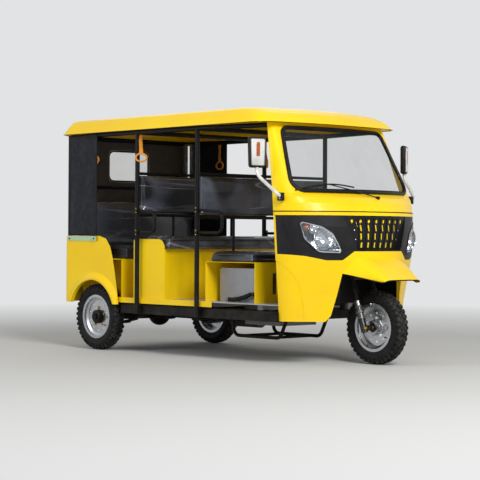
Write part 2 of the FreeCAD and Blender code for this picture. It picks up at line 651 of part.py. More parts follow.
rail_z = size.RoofEdge - size.TubeRadius
tubes = []
for side in (-1, 1):
    y = side * size.CabHalf
    for x, low in ((size.PillarB, size.RailBase), (size.PillarC, size.RailBase)):
        tubes.append(rod(Vec(x, y, low), Vec(x, y, rail_z), size.TubeRadius))
        first, last = sorted((side * (size.SideSpread + size.RailWide / 2), y))
        tubes.append(box((x - 14, first, size.RailBase + 8), (x + 14, last, rail_top - 8)))
    corner = Vec(size.PillarD, side * size.PillarDHalf, rail_z)
    tubes.append(rod(Vec(size.PillarD, side * size.PillarDHalf, size.RearSeatTop), corner, size.TubeRadius))
    tubes.append(rod(Vec(size.CurtainFront, y, rail_z), corner, size.TubeRadius))
    tubes.append(Part.makeSphere(size.TubeRadius, corner))
    tubes.append(rod(Vec(size.CurtainFront, y, rail_z), Vec(size.PillarB, y, rail_z), size.TubeRadius))
    tubes.append(Part.makeSphere(size.TubeRadius, Vec(size.CurtainFront, y, rail_z)))
    tubes.append(Part.makeSphere(size.TubeRadius, Vec(size.PillarB, y, rail_z)))
    tubes.append(rod(Vec(size.PillarB, y, rail_z), Vec(1850, side * 545, rail_z), size.TubeRadius))
for x, half, z in ((size.PillarB, size.CabHalf, rail_z), (size.PillarC, size.CabHalf, rail_z),
                   (size.PillarD, size.PillarDHalf, rail_z), (size.PillarD, size.PillarDHalf, 1270),
                   (size.PillarD, size.PillarDHalf, size.BodyTop + 40)):
    tubes.append(rod(Vec(x, -half, z), Vec(x, half, z), size.TubeRadius if z > 1300 else 11))
bar = 11
# pillar, lower and upper edge of its backrest, seat top that the posts stand on
for x, low, high, stand in ((size.PillarC, 1047, 1335, size.BenchTop), (size.PillarB, 1028, 1315, size.DriverTop)):
    for z in (low - bar - 0.3, high + bar + 0.3):
        tubes.append(rod(Vec(x, -size.CabHalf, z), Vec(x, size.CabHalf, z), bar))
    for y in (-300, 300):
        tubes.append(rod(Vec(x, y, stand + 0.3), Vec(x, y, low - bar), bar))
upper_tubes = joined(tubes)
keep("upper_frame", upper_tubes)

# Roof


def oval(z, half, front, corner, start, back, back_corner=0.0):
    """Closed plan outline: bowed front, rounded front corners from start, straight sides and back."""
    reach = front - start
    bow = (reach ** 2 + half ** 2 - 2 * half * corner) / (2 * (reach - corner))
    nose = Vec(front - bow, 0, z)
    hub = Vec(start, half - corner, z)
    aim = (hub - nose).normalize()
    touch = nose + aim * bow
    middle = hub + (Vec(0, 1, 0) + aim).normalize() * corner

    def flip(point):
        return Vec(point.x, -point.y, point.z)

    def arc(first, through, last):
        return Part.Arc(first, through, last).toShape()

    def line(first, last):
        return Part.LineSegment(first, last).toShape()

    widest = Vec(start, half, z)
    edges = [arc(flip(widest), flip(middle), flip(touch)), arc(flip(touch), Vec(front, 0, z), touch),
             arc(touch, middle, widest)]
    if back_corner:
        bend = back_corner * (1 - sqrt(0.5))
        side_end = Vec(back + back_corner, half, z)
        back_end = Vec(back, half - back_corner, z)
        between = Vec(back + bend, half - bend, z)
        edges += [line(widest, side_end), arc(side_end, between, back_end), line(back_end, flip(back_end)),
                  arc(flip(back_end), flip(between), flip(side_end)), line(flip(side_end), flip(widest))]
    elif back < start:
        corner_end = Vec(back, half, z)
        edges += [line(widest, corner_end), line(corner_end, flip(corner_end)), line(flip(corner_end), flip(widest))]
    else:
        edges.append(line(widest, flip(widest)))
    return Part.Wire(edges)


edge_z = size.RoofEdge
# height above the edge, narrowing, pull back of the front, front corner, pull in of the rear
ROOF_RISE = [(0, 0, 0, 140, 0), (28, 22, 20, 138, 2), (68, 54, 64, 130, 7), (98, 84, 134, 120, 15),
             (110, 110, 194, 110, 30), (116, 195, 344, 100, 85)]


def roof_solid(inset):
    rings = []
    for rise, narrow, pull, corner, tuck in ROOF_RISE:
        level = edge_z + rise - inset
        rings.append(oval(level, size.RoofHalf - narrow - inset, size.RoofFront - pull - inset,
                          corner - inset * 0.6, 1800 - pull, size.RoofRear + tuck + inset, size.RoofCorner - inset))
    return Part.makeLoft(rings, True, True)


roof_outer = roof_solid(0)
roof_inner = roof_solid(size.RoofWall)
roof = roof_outer.cut(roof_inner)
hem_face = Part.Face(oval(edge_z, size.RoofHalf - 2, size.RoofFront - 2, 138, 1800, size.RoofRear + 2,
                          size.RoofCorner - 2))
hem = hem_face.extrude(Vec(0, 0, size.RoofWall))
hem_hole = Part.Face(oval(edge_z - 1, size.RoofHalf - size.RoofHem, size.SoffitFrom, 60, 1700,
                          size.RoofRear + size.RoofHem, 50)).extrude(Vec(0, 0, size.RoofWall + 2))
under_top = edge_z + ROOF_RISE[-1][0] - size.RoofWall
stiffeners = []
for y in (-440, -220, 0, 220, 440):
    stiffeners.append(box((size.RoofRear + 110, y - 15, under_top - size.RoofRib),
                          (1640, y + 15, under_top + 1)))
for x in (size.CurtainFront, size.PillarC + 340, size.PillarB):
    stiffeners.append(box((x - 18, -488, under_top - size.RoofRib), (x + 18, 488, under_top + 1)))
keep("roof", joined([roof, hem.cut(hem_hole)] + stiffeners))

# Curtains

curtain_base = size.BodyTop + 0.3
curtain_top = edge_z - 3
drops = []
for side in (-1, 1):
    front_y = size.CabHalf + size.TubeRadius + 0.3
    rear_x = size.PillarD + 20
    rear_y = size.PillarDHalf + 24
    plan = [Vec(size.CurtainFront, side * front_y, curtain_base), Vec(rear_x, side * rear_y, curtain_base),
            Vec(rear_x, side * (rear_y + size.CurtainThick), curtain_base),
            Vec(size.CurtainFront, side * (front_y + size.CurtainThick), curtain_base)]
    drops.append(Part.Face(rounded(plan, 0)).extrude(Vec(0, 0, curtain_top - curtain_base)))
keep("side_curtains", Part.Compound(drops))


def upright_panel(half, low, high, corner, start, end):
    """Panel across the vehicle with rounded corners."""
    corners = [(-half, low), (half, low), (half, high), (-half, high)]
    return across_prism(corners, corner, start, end)


pane_x = size.PillarD - size.TubeRadius - 0.3
rear_drop = upright_panel(size.PillarDHalf + 10, size.BodyTop + 5, curtain_top, 10, pane_x - size.CurtainThick, pane_x)
opening = upright_panel(size.WindowHalf, size.WindowBase, size.WindowTop, 45, pane_x - 10, pane_x + 10)
keep("rear_curtain", rear_drop.cut(opening))
keep("rear_window", upright_panel(size.WindowHalf + 14, size.WindowBase - 14, size.WindowTop + 14, 50,
                                  pane_x, pane_x + 2))

# Cab front

# height, half width, front at the middle, corner radius, rear edge
CAB_PLAN = [
    (300, 590, 2325, 130, 1985), (480, 606, 2338, 190, 1985), (620, 617, 2364, 250, 1985),
    (720, 625, 2388, 282, 1985), (820, 633, 2399, 292, 1985), (950, 643, 2395, 283, 1985),
    (1050, 650, 2376, 258, 1985), (1110, 654, 2348, 232, 1985), (1150, 657, 2301, 196, 1985),
    (1178, 658, 2235, 145, 1985),
]
SCREEN_PLAN = [(1178, 658, 2235, 145, 1985), (1430, 616, 2064, 82, 1913), (1672, 577, 1922, 36, 1843)]


def cab_solid(plan, inset, rear=0.0):
    rings = [oval(z, half - inset, front - inset, corner - inset * 0.6, start, start - rear)
             for z, half, front, corner, start in plan]
    return Part.makeLoft(rings, True, True)


def cab_skin(plan, inset, thickness):
    return cab_solid(plan, inset).cut(cab_solid(plan, inset + thickness, rear=2))


wall = size.CabWall
lower_skin = cab_skin(CAB_PLAN, 0, wall)
upper_skin = cab_skin(SCREEN_PLAN, 0, wall)
wheel_gap = [(-386, 290), (-347, 340), (-318, 483), (-303, 640), (303, 640), (318, 483), (347, 340), (386, 290)]
wheel_opening = across_prism(wheel_gap, [0, 20, 60, 12, 12, 60, 20, 0], 2100, 2500)
mask_top = size.MaskTop
mask_outline = [(-665, mask_top), (-665, 766), (-540, 748), (-425, 720), (-318, 720), (-239, 781),
                (239, 781), (318, 720), (425, 720), (540, 748), (665, 766), (665, mask_top)]
mask_cut = across_prism(mask_outline, [0, 0, 60, 40, 20, 8, 8, 20, 40, 60, 0, 0], size.MaskSide, 2500)
LAMP = [(-581, 986), (-555, 865), (-475, 775), (-322, 768), (-385, 900), (-455, 950)]
LAMP_ROUND = [14, 60, 60, 16, 60, 80]


def lamp_prism(side, grow=0.0):
    middle_y = sum(y for y, z in LAMP) / len(LAMP)
    middle_z = sum(z for y, z in LAMP) / len(LAMP)
    points = []
    for y, z in LAMP:
        reach = hypot(y - middle_y, z - middle_z)
        points.append((-side * (y + (y - middle_y) / reach * grow), z + (z - middle_z) / reach * grow))
    return across_prism(points, LAMP_ROUND, 2080, 2500)


lamp_cut = lamp_prism(1).fuse(lamp_prism(-1))
screen_hole = [(-588, 1192), (-500, 1640), (500, 1640), (588, 1192)]
pane_hole = [(-570, 1210), (-486, 1622), (486, 1622), (570, 1210)]
seal_prism = across_prism(screen_hole, [75, 62, 62, 75], 1840, 2400)
pane_prism = across_prism(pane_hole, [58, 46, 46, 58], 1840, 2400)

# The grille is a tray set back into the mask, deeper at its foot.
GRILLE_PLAN = [(760, 640, 2344, 280, 1985), (1040, 645, 2384, 270, 1985)]


def grille_prism(inset):
    corners = [(-319 + inset, mask_top - 3 - inset), (-222 + inset * 1.4, 784 + inset),
               (222 - inset * 1.4, 784 + inset), (319 - inset, mask_top - 3 - inset)]
    return across_prism(corners, [10, 10, 10, 10], 2150, 2500)


grille_cut = grille_prism(0)
grille_face = cab_solid(GRILLE_PLAN, 0)
grille_back = cab_solid(GRILLE_PLAN, size.GrilleWall, rear=2)
tray = grille_cut.common(cab_solid(CAB_PLAN, 1)).cut(grille_back)
tray = tray.cut(grille_prism(size.GrilleWall).cut(grille_face))
# height, slot width, slot depth, lean, number of slots, spacing
GRILLE_ROWS = [(986, 20, 24, 0, 8, 71), (941, 13, 46, 8, 6, 68), (883, 13, 46, 4, 6, 64), (824, 15, 38, 0, 6, 60)]
slots = []
for z, wide, deep, lean, count, spacing in GRILLE_ROWS:
    for order in range(count):
        y = (order - (count - 1) / 2) * spacing
        foot_y = y + lean
        corners = [(foot_y - wide / 2, z - deep / 2), (foot_y + wide / 2, z - deep / 2),
                   (y - lean + wide / 2, z + deep / 2), (y - lean - wide / 2, z + deep / 2)]
        slots.append(across_prism(corners, wide / 2 - 1, 2200, 2500))
# Bent ribs between the columns: offset from the row's spacing at the top, the bend and the foot.
rib_room = cab_solid(GRILLE_PLAN, -5).cut(cab_solid(GRILLE_PLAN, 1))
zigzags = []
for order in range(7):
    top_y = (order - 3) * 69
    bend_y = (order - 3) * 65 + 12
    foot_y = (order - 3) * 59
    half = 3.5
    zigzag = [(top_y - half, 1008), (bend_y - half, 912), (foot_y - half, 800),
              (foot_y + half, 800), (bend_y + half, 912), (top_y + half, 1008)]
    zigzags.append(across_prism(zigzag, 0, 2200, 2500))
ribs_on_face = Part.Compound(zigzags).common(rib_room)
keep("grille", joined([tray.cut(Part.Compound(slots)), ribs_on_face]))

lip = []
for side in (1, -1):
    ring = cab_skin(CAB_PLAN, -size.LampLip, size.LampLip + 1).common(lamp_prism(side, 11).cut(lamp_prism(side)))
    lip.append(ring)
# distance ahead and height along the pressed line behind each lamp
MASK_CREASE = [(2046, 1012), (2062, 952), (2093, 872), (2144, 780)]
bead_wide = 9
bead = side_prism(MASK_CREASE + [(x + bead_wide, z + 2) for x, z in reversed(MASK_CREASE)], 0, -700, 700)
bead = bead.common(cab_skin(CAB_PLAN, -size.LampLip, size.LampLip + 1))
mask_skin = lower_skin.common(mask_cut).cut(grille_cut).cut(lamp_cut)
keep("front_mask", joined([mask_skin, bead.cut(lamp_cut)] + lip).cut(grille_cut))

belt_band = box((size.MaskSide, -700, mask_top), (2500, 700, mask_top + size.BeltDeep))
belt = cab_skin(CAB_PLAN, -size.BeltProud, size.BeltProud + 1).common(belt_band)
groove_band = box((1900, -700, size.GrooveLow), (2500, 700, size.GrooveLow + 6))
groove = cab_skin(CAB_PLAN, -1, size.GrooveDeep + 1).common(groove_band)
# pressed area of each leg shield, behind a line that bends down from the rear edge
LEG_CREASE = [(1900, 735), (2019, 708), (2097, 648), (2134, 580), (2141, 468), (2136, 290), (1900, 290)]
pressed = side_prism(LEG_CREASE, [0, 30, 60, 60, 60, 0, 0], -700, 700)
pressed = pressed.common(cab_skin(CAB_PLAN, -1, size.CreaseDeep + 1))
backing = cab_solid(GRILLE_PLAN, size.BackingGap + size.GrilleWall, rear=2)
backing = backing.cut(cab_solid(GRILLE_PLAN, size.BackingGap + 2 * size.GrilleWall, rear=4))
backing = backing.common(box((2150, -312, 790), (2500, 312, mask_top + 5)))
shelf_room = cab_solid(CAB_PLAN, 1).cut(cab_solid(GRILLE_PLAN, size.BackingGap + 2 * size.GrilleWall, rear=4))
backing_shelf = shelf_room.common(box((2150, -312, mask_top + 1), (2500, 312, mask_top + 5)))
lower_cab = lower_skin.cut(wheel_opening).cut(mask_cut).cut(groove).cut(pressed)
keep("cab_front", joined([lower_cab, upper_skin.cut(seal_prism), belt, backing, backing_shelf]))

lens_skin = cab_skin(CAB_PLAN, -2, 4)
shell_inner = cab_solid(CAB_PLAN, wall, rear=2)
lenses = []
bowls = []
ambers = []
amber_prism = across_prism([(-600, 1000), (-600, 925), (-508, 925), (-508, 1000)], 0, 2000, 2500)
for side in (1, -1):
    lens = lens_skin.common(lamp_prism(side, -3))
    corner = mirrored(amber_prism) if side == 1 else amber_prism
    lenses.append(lens.cut(corner))
    ambers.append(lens.common(corner))
    pot = lamp_prism(side, -1).common(shell_inner).common(box((2130, -700, 700), (2500, 700, 1100)))
    pot_hollow = lamp_prism(side, -7).common(box((2140, -700, 700), (2500, 700, 1100)))
    rim = cab_skin(CAB_PLAN, 2.3, 5).common(lamp_prism(side, -0.3)).cut(lamp_prism(side, -9))
    bowls.append(joined([pot.cut(pot_hollow), rim]))
keep("headlamps", Part.Compound(bowls))
keep("headlamp_lenses", Part.Compound(lenses))
keep("front_indicators", Part.Compound(ambers))

glass = cab_skin(SCREEN_PLAN, 0, size.GlassThick).common(pane_prism)
keep("windscreen_glass", glass)
seal_skin = cab_skin(SCREEN_PLAN, -size.SealProud, size.GlassThick + 2 * size.SealProud - 2)
keep("windscreen_seal", seal_skin.common(seal_prism).cut(pane_prism))

# Wheel well, dashboard and inner panels

well = [
    ((1998, -292, floor_top), (2002, 292, 652)),
    ((1998, -288, 648), (2300, 288, 652)),
    ((1998, -292, floor_top), (2270, -288, 652)),
    ((1998, 288, floor_top), (2270, 292, 652)),
]
well_shape = panels(well).cut(rod(on_axis(380), on_axis(480), size.HeadRadius + 8))
shell_limit = cab_solid(CAB_PLAN, wall + 0.3, rear=2)
inner_wall = box((2240, -316, 652), (2244, 316, 1020))
keep("front_bulkhead", joined([well_shape, inner_wall]).common(shell_limit))
dash_room = cab_solid(CAB_PLAN, wall + 0.3, rear=2)
shelf = box((2090, -600, 1168), (2300, 600, 1172)).common(dash_room)
binnacle = box((2182, -138, 1082), (2400, 138, 1172)).common(dash_room)
keep("dashboard", joined([shelf, binnacle]))

# Beak over the front wheel

beak_sections = []
# distance ahead, half width on top, top height, half width below, lower height
for x, top_half, top_z, low_half, low_z in ((2285, 236, 800, 330, 585), (2400, 216, 742, 282, 585),
                                            (2500, 192, 672, 228, 570), (2600, 166, 590, 176, 556)):
    beak_sections.append((x, top_half, top_z, low_half, low_z))


def beak_solid(inset):
    rings = []
    for x, top_half, top_z, low_half, low_z in beak_sections:
        points = [Vec(x, -low_half + inset, low_z - inset * 2), Vec(x, -top_half + inset, top_z - inset),
                  Vec(x, top_half - inset, top_z - inset), Vec(x, low_half - inset, low_z - inset * 2)]
        rings.append(rounded(points, [0, 30 - inset, 30 - inset, 0]))
    return Part.makeLoft(rings, True, True)


beak_shape = beak_solid(0).cut(beak_solid(4)).cut(cab_solid(CAB_PLAN, -0.3))
round_nose = Part.Face(rounded([Vec(2200, -400, 400), Vec(2598, -400, 400), Vec(2598, 400, 400), Vec(2200, 400, 400)],
                               [0, 300, 300, 0])).extrude(Vec(0, 0, 600))
keep("beak", beak_shape.common(round_nose))

# Wiper, mirrors, handles, straps and lamps


screen_solid = cab_solid(SCREEN_PLAN, 0)
cowl_solid = cab_solid(CAB_PLAN, 0)


def skin_point(solid, y, z, out):
    """Point on the outer face of the screen or the cowl, moved forward by a distance."""
    probe = solid.common(Part.makeLine(Vec(1700, y, z), Vec(2500, y, z)))
    return Vec(probe.BoundBox.XMax + out, y, z)


# across, height: blade from its low end to its tip, then the spindle below the glass
BLADE = [(-570, 1197), (-440, 1226), (-310, 1243), (-200, 1240), (-90, 1224)]
SPINDLE = (48, 1152)
blade = tube([skin_point(screen_solid, y, z, size.SealProud + 6) for y, z in BLADE], 5, 900)
hub = skin_point(cowl_solid, *SPINDLE, 0.3)
elbow = hub + Vec(20, 0, 0)
blade_middle = skin_point(screen_solid, *BLADE[2], size.SealProud + 6)
arm = tube([elbow, skin_point(screen_solid, -120, 1200, 24), blade_middle], 4, 300)
wiper = [blade, rod(hub, hub + Vec(26, 0, 0), 11), arm]
clear_of_glass = cab_solid(SCREEN_PLAN, -size.SealProud - 0.3)
keep("wiper", joined(wiper).cut(cab_solid(CAB_PLAN, -0.3)).cut(clear_of_glass))

# Mirror stalk from its foot on the cowl: distance ahead, distance out, height
STALK = [(2070, 655, 1170), (2078, 685, 1182), (1990, 735, 1268), (1932, 752, 1318), (1929, 752, 1362)]
# Mirror head seen from the front: distance from its middle and height
HEAD = [(-52, 1352), (52, 1352), (60, 1545), (-60, 1545)]
head_rear = 1910
head_deep = 34
mirror_parts = []
for side in (-1, 1):
    stalk = tube([Vec(x, side * y, z) for x, y, z in STALK], 8, 30)
    near, far = sorted((side * 632, side * 668))
    foot_block = box((2048, near, 1140), (2092, far, 1196))
    bracket = joined([stalk, foot_block]).cut(cab_solid(CAB_PLAN, -0.3)).cut(cab_solid(SCREEN_PLAN, -0.3))
    middle = side * STALK[-1][1]
    head_shape = across_prism([(middle + y, z) for y, z in HEAD], 26, head_rear, head_rear + head_deep)
    back_edges = [edge for edge in head_shape.Edges if edge.BoundBox.XMin > head_rear + head_deep - 1]
    mirror_parts.append(joined([bracket, head_shape.makeFillet(12, back_edges)]))
keep("mirrors", Part.Compound(mirror_parts))

grips = []
for side in (-1, 1):
    y = side * size.CabHalf
    for pillar, reach in ((size.PillarB, 268), (size.PillarC, 208)):
        first_x = pillar + size.TubeRadius
        grips.append(tube([Vec(first_x, y, 1068), Vec(pillar + reach, y, 1050), Vec(pillar + reach, y, 905),
                           Vec(first_x, y, 905)], 11, 45))
keep("grab_handles", Part.Compound([grip.cut(upper_tubes) for grip in grips]))

strap_x = size.PillarC - 21
ring_radius = 40
ring_bar = 8
ring_z = 1465
straps = []
for side in (-1, 1):
    y = side * (size.CabHalf - 26)
    band = box((strap_x - 13, y - 2, ring_z + ring_radius), (strap_x + 13, y + 2, rail_z - size.TubeRadius - 0.3))
    ring_body = Part.makeTorus(ring_radius, ring_bar, Vec(strap_x, y, ring_z), Vec(0, 1, 0))
    straps.append(band.fuse(ring_body))
keep("hand_straps", Part.Compound(straps))

tails = []
for side in (-1, 1):
    near, far = sorted((side * 470, side * 560))
    outline_yz = [(near, 600), (far, 600), (far, 780), (near, 780)]
    tails.append(across_prism(outline_yz, 14, size.RearFace - 20, size.RearFace - 0.1))
keep("tail_lamps", Part.Compound(tails))

# Fork, handlebar and front axle

spread = size.ForkSpread
fork = []
for side in (-1, 1):
    y = side * spread
    axle_spot = Vec(size.Wheelbase, y, size.TyreRadius)
    fork.append(rod(on_axis(-34, y), on_axis(size.SliderTop, y), size.SliderRadius))
    fork.append(rod(on_axis(size.SliderTop - 5, y), on_axis(size.ClampAt + size.ClampDeep, y), size.LegRadius))
    for fold in range(7):
        low = size.SliderTop + fold * 13
        fork.append(rod(on_axis(low, y), on_axis(low + 8, y), size.SliderRadius + 1))
    lug = box((size.Wheelbase - size.ForkLead, min(y - 12, y + 12), size.TyreRadius - 17),
              (size.Wheelbase, max(y - 12, y + 12), size.TyreRadius + 17))
    fork.append(lug)
    fork.append(rod(axle_spot - Vec(0, 12, 0), axle_spot + Vec(0, 12, 0), 19))
yoke_plan = [on_axis(size.ClampAt, -spread - 28, -26), on_axis(size.ClampAt, spread + 28, -26),
             on_axis(size.ClampAt, spread + 28, 26), on_axis(size.ClampAt, -spread - 28, 26)]
yoke = Part.Face(rounded(yoke_plan, 22)).extrude(up_axis * size.ClampDeep)
fork.append(yoke)
fork.append(rod(on_axis(size.ClampAt), on_axis(size.BarAt - 10), size.StemRadius))
fork.append(rod(on_axis(size.ClampAt + size.ClampDeep - 1), on_axis(size.HeadFrom - 1), 26))
fork.append(rod(on_axis(size.HeadFrom + size.HeadLong + 1), on_axis(size.HeadFrom + size.HeadLong + 22), 26))
fork.append(rod(Vec(size.Wheelbase, -spread - 14, size.TyreRadius), Vec(size.Wheelbase, spread + 14, size.TyreRadius),
                size.AxlePin))
fork_shape = joined(fork)
keep("fork", fork_shape)
bar = [tube([on_axis(size.BarAt - 30, -size.BarHalf, -70), on_axis(size.BarAt + 6, -size.BarHalf + 150, -22),
             on_axis(size.BarAt, -60, 0), on_axis(size.BarAt, 60, 0),
             on_axis(size.BarAt + 6, size.BarHalf - 150, -22), on_axis(size.BarAt - 30, size.BarHalf, -70)],
            size.BarRadius, 40)]
bar.append(box(on_axis(size.BarAt) - Vec(34, 48, 26), on_axis(size.BarAt) + Vec(24, 48, 26)))
for side in (-1, 1):
    inner_end = on_axis(size.BarAt - 9, side * (size.BarHalf - 118), -40)
    outer_end = on_axis(size.BarAt - 31, side * (size.BarHalf + 4), -71)
    bar.append(rod(inner_end, outer_end, 16.5))
keep("handlebar", joined(bar).cut(fork_shape))

# Check and write

doc.recompute()
for item in doc.Objects:
    if "Invalid" in item.State or "Error" in item.State:
        raise ValueError(f"{item.Label} is {item.State}")
for piece in nodes:
    if piece.Shape.isNull() or not piece.Shape.isValid():
        raise ValueError(f"{piece.Label} has no sound shape")
os.makedirs("parts", exist_ok=True)
for piece in nodes:
    piece.Shape.exportStep(f"parts/{piece.Label}.step")
    print(piece.Label, len(piece.Shape.Solids), round(piece.Shape.Volume / 1e6, 3))
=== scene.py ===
from math import cos, hypot, pi, radians, sin

import bmesh
import bpy
from mathutils import Matrix, Vector, noise
from mathutils.bvhtree import BVHTree


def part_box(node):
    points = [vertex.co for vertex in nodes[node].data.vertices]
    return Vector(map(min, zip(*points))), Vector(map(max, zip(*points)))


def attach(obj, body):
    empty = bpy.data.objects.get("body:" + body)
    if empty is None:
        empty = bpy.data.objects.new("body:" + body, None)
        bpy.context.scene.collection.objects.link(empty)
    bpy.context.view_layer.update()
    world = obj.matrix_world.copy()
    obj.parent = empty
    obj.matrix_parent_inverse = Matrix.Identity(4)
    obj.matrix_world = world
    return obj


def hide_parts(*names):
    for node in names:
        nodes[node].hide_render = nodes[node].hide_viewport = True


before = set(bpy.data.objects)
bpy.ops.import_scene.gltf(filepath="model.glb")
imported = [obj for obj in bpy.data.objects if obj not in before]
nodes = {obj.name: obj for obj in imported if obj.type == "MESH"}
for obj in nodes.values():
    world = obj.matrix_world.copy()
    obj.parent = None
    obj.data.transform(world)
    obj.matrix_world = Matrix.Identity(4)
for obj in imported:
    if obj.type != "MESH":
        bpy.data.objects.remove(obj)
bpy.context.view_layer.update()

# auto rickshaw: metres, +X forward, +Y left, +Z up, ground at Z = 0


# camera, from the fit of the photograph

camera = {
    "place": (8.7345, -8.1694, 0.8811),
    "yaw": 2.3973,
    "pitch": 0.0139,
    "roll": 0.0050,
    "focalPixels": 1593.45,
    "axisPixel": (240.5, 214.0),
    "framePixels": 480,
    "sensor": 36,
}


def makeCamera():
    data = bpy.data.cameras.new("camera")
    yaw, pitch, roll = camera["yaw"], camera["pitch"], camera["roll"]
    ahead = Vector((cos(yaw) * cos(pitch), sin(yaw) * cos(pitch), sin(pitch)))
    level = Vector((sin(yaw), -cos(yaw), 0))
    upright = level.cross(ahead)
    right = cos(roll) * level + sin(roll) * upright
    up = cos(roll) * upright - sin(roll) * level
    turn = Matrix((right, up, -ahead)).transposed().to_4x4()
    wide = camera["framePixels"]
    data.sensor_width = camera["sensor"]
    data.lens = camera["focalPixels"] / wide * data.sensor_width
    data.shift_x = (wide / 2 - camera["axisPixel"][0]) / wide
    data.shift_y = (camera["axisPixel"][1] - wide / 2) / wide
    data.clip_end = 400
    made = bpy.data.objects.new("camera", data)
    made.matrix_world = Matrix.Translation(camera["place"]) @ turn
    bpy.context.scene.collection.objects.link(made)
    bpy.context.scene.camera = made


makeCamera()
print("camera placed")


# materials

def tint(red, green, blue):  # a screen colour, 0 to 255, as the shader's linear one
    shares = [value / 255 for value in (red, green, blue)]
    return tuple(c / 12.92 if c <= 10 / 255 else ((c + 0.055) / 1.055) ** 2.4 for c in shares) + (1,)


class Wire:  # a socket that takes part in sums

    def __init__(self, owner, socket):
        self.owner = owner
        self.socket = socket

    def worked(self, operation, first, second):
        return self.owner.node("ShaderNodeMath", {"operation": operation}, {0: first, 1: second})

    def __add__(self, other):
        return self.worked("ADD", self, other)

    def __radd__(self, other):
        return self.worked("ADD", other, self)

    def __sub__(self, other):
        return self.worked("SUBTRACT", self, other)

    def __rsub__(self, other):
        return self.worked("SUBTRACT", other, self)

    def __mul__(self, other):
        return self.worked("MULTIPLY", self, other)

    def __rmul__(self, other):
        return self.worked("MULTIPLY", other, self)


class NodeTree:  # a tree of shader nodes, with one way to add any node

    def __init__(self, tree):
        self.tree = tree

    def node(self, kind, settings=None, sockets=None, output=0):
        made = self.tree.nodes.new(kind)
        for key, value in (settings or {}).items():
            setattr(made, key, value)
        for key, value in (sockets or {}).items():
            if isinstance(value, Wire):
                self.tree.links.new(value.socket, made.inputs[key])
            else:
                made.inputs[key].default_value = value
        return Wire(self, made.outputs[output])


class Paint(NodeTree):  # one material and the short ways to build its nodes

    def __init__(self, name, colour, roughness=0.5, metallic=0.0, **fixed):
        self.material = bpy.data.materials.new(name)
        self.material.use_nodes = True
        super().__init__(self.material.node_tree)
        self.shader = self.tree.nodes["Principled BSDF"]
        self.shader.inputs["Base Color"].default_value = colour
        self.shader.inputs["Roughness"].default_value = roughness
        self.shader.inputs["Metallic"].default_value = metallic
        for socket, value in fixed.items():
            self.shader.inputs[socket.replace("_", " ")].default_value = value
        self.coordinates = None

    def place(self):  # Object coordinates, shared by the material's textures
        if self.coordinates is None:
            self.coordinates = self.node("ShaderNodeTexCoord", output="Object")
        return self.coordinates

    def along(self, axis):
        return self.node("ShaderNodeSeparateXYZ", sockets={0: self.place()}, output=axis)

    def stretched(self, scale, turned=(0, 0, 0)):
        sockets = {"Vector": self.place(), "Scale": scale, "Rotation": turned}
        return self.node("ShaderNodeMapping", sockets=sockets)

    def noise(self, scale, detail=3.0, rough=0.5, where=None):
        sockets = {"Vector": where or self.place(), "Scale": scale, "Detail": detail, "Roughness": rough}
        return self.node("ShaderNodeTexNoise", sockets=sockets)

    def ranged(self, value, low, high, start=0.0, end=1.0):
        sockets = {"Value": value, "From Min": low, "From Max": high, "To Min": start, "To Max": end}
        return self.node("ShaderNodeMapRange", {"clamp": True}, sockets)

    def drive(self, socket, wire):
        self.tree.links.new(wire.socket, self.shader.inputs[socket])

    def threads(self, scale, distortion):  # fine level ribs of cloth and webbing
        return self.node("ShaderNodeTexWave", {"wave_type": "BANDS", "bands_direction": "Z"},
                         {"Vector": self.place(), "Scale": scale, "Distortion": distortion}, output="Fac")

    def coloured(self, share, first, second):
        self.drive("Base Color", mixed(self, share, first, second))

    def uneven(self, scale, detail, low, high):  # roughness that changes in patches
        self.drive("Roughness", self.ranged(self.noise(scale, detail), 0.3, 0.7, low, high))

    def bump(self, height, strength=0.3, distance=0.002):
        sockets = {"Height": height, "Strength": strength, "Distance": distance}
        self.drive("Normal", self.node("ShaderNodeBump", sockets=sockets))


# the mix node has one socket of each name for every data type, so its colour sockets go by number
mixColour = {"share": 0, "first": 6, "second": 7, "result": 2}


def mixed(paint, share, first, second):
    sockets = {mixColour["share"]: share, mixColour["first"]: first, mixColour["second"]: second}
    return paint.node("ShaderNodeMix", {"data_type": "RGBA"}, sockets, output=mixColour["result"])


finishes = {
    "yellow": tint(252, 216, 8),
    "yellowDeep": tint(245, 182, 5),
    "dust": tint(176, 158, 128),
    "black": tint(9, 9, 11),
    "mask": tint(21, 21, 24),
    "vinyl": tint(24, 25, 30),
    "vinylWorn": tint(62, 66, 76),
    "curtain": tint(17, 18, 26),
    "curtainFoldSheen": tint(52, 56, 68),
    "rubber": tint(12, 12, 13),
    "rubberDust": tint(78, 76, 73),
    "silver": tint(190, 192, 196),
    "tubeSilver": tint(188, 190, 194),
    "clampGrey": tint(92, 90, 88),
    "aluminium": tint(150, 152, 156),
    "exhaustGrey": tint(96, 92, 88),
    "rust": tint(96, 60, 38),
    "lampSilver": tint(222, 224, 228),
    "lampSmudge": tint(120, 124, 132),
    "amber": tint(235, 110, 12),
    "red": tint(190, 16, 14),
    "webbing": tint(232, 150, 24),
    "webbingDeep": tint(180, 104, 12),
    "filmPale": tint(214, 213, 208),
    "filmThin": tint(112, 112, 112),
    "filmReflection": tint(84, 88, 101),
    "filmHighlight": tint(205, 207, 216),
    "lining": tint(66, 60, 56),
    "liningLight": tint(92, 84, 78),
    "pale": tint(158, 196, 158),
    "paleWorn": tint(206, 220, 204),
}


def lowDust(paint, top):  # road dust that thins out upwards, patchy
    height = paint.ranged(paint.along("Z"), 0.25, top, 1.0, 0.0)
    return height * paint.ranged(paint.noise(9, 5, 0.65), 0.38, 0.72)


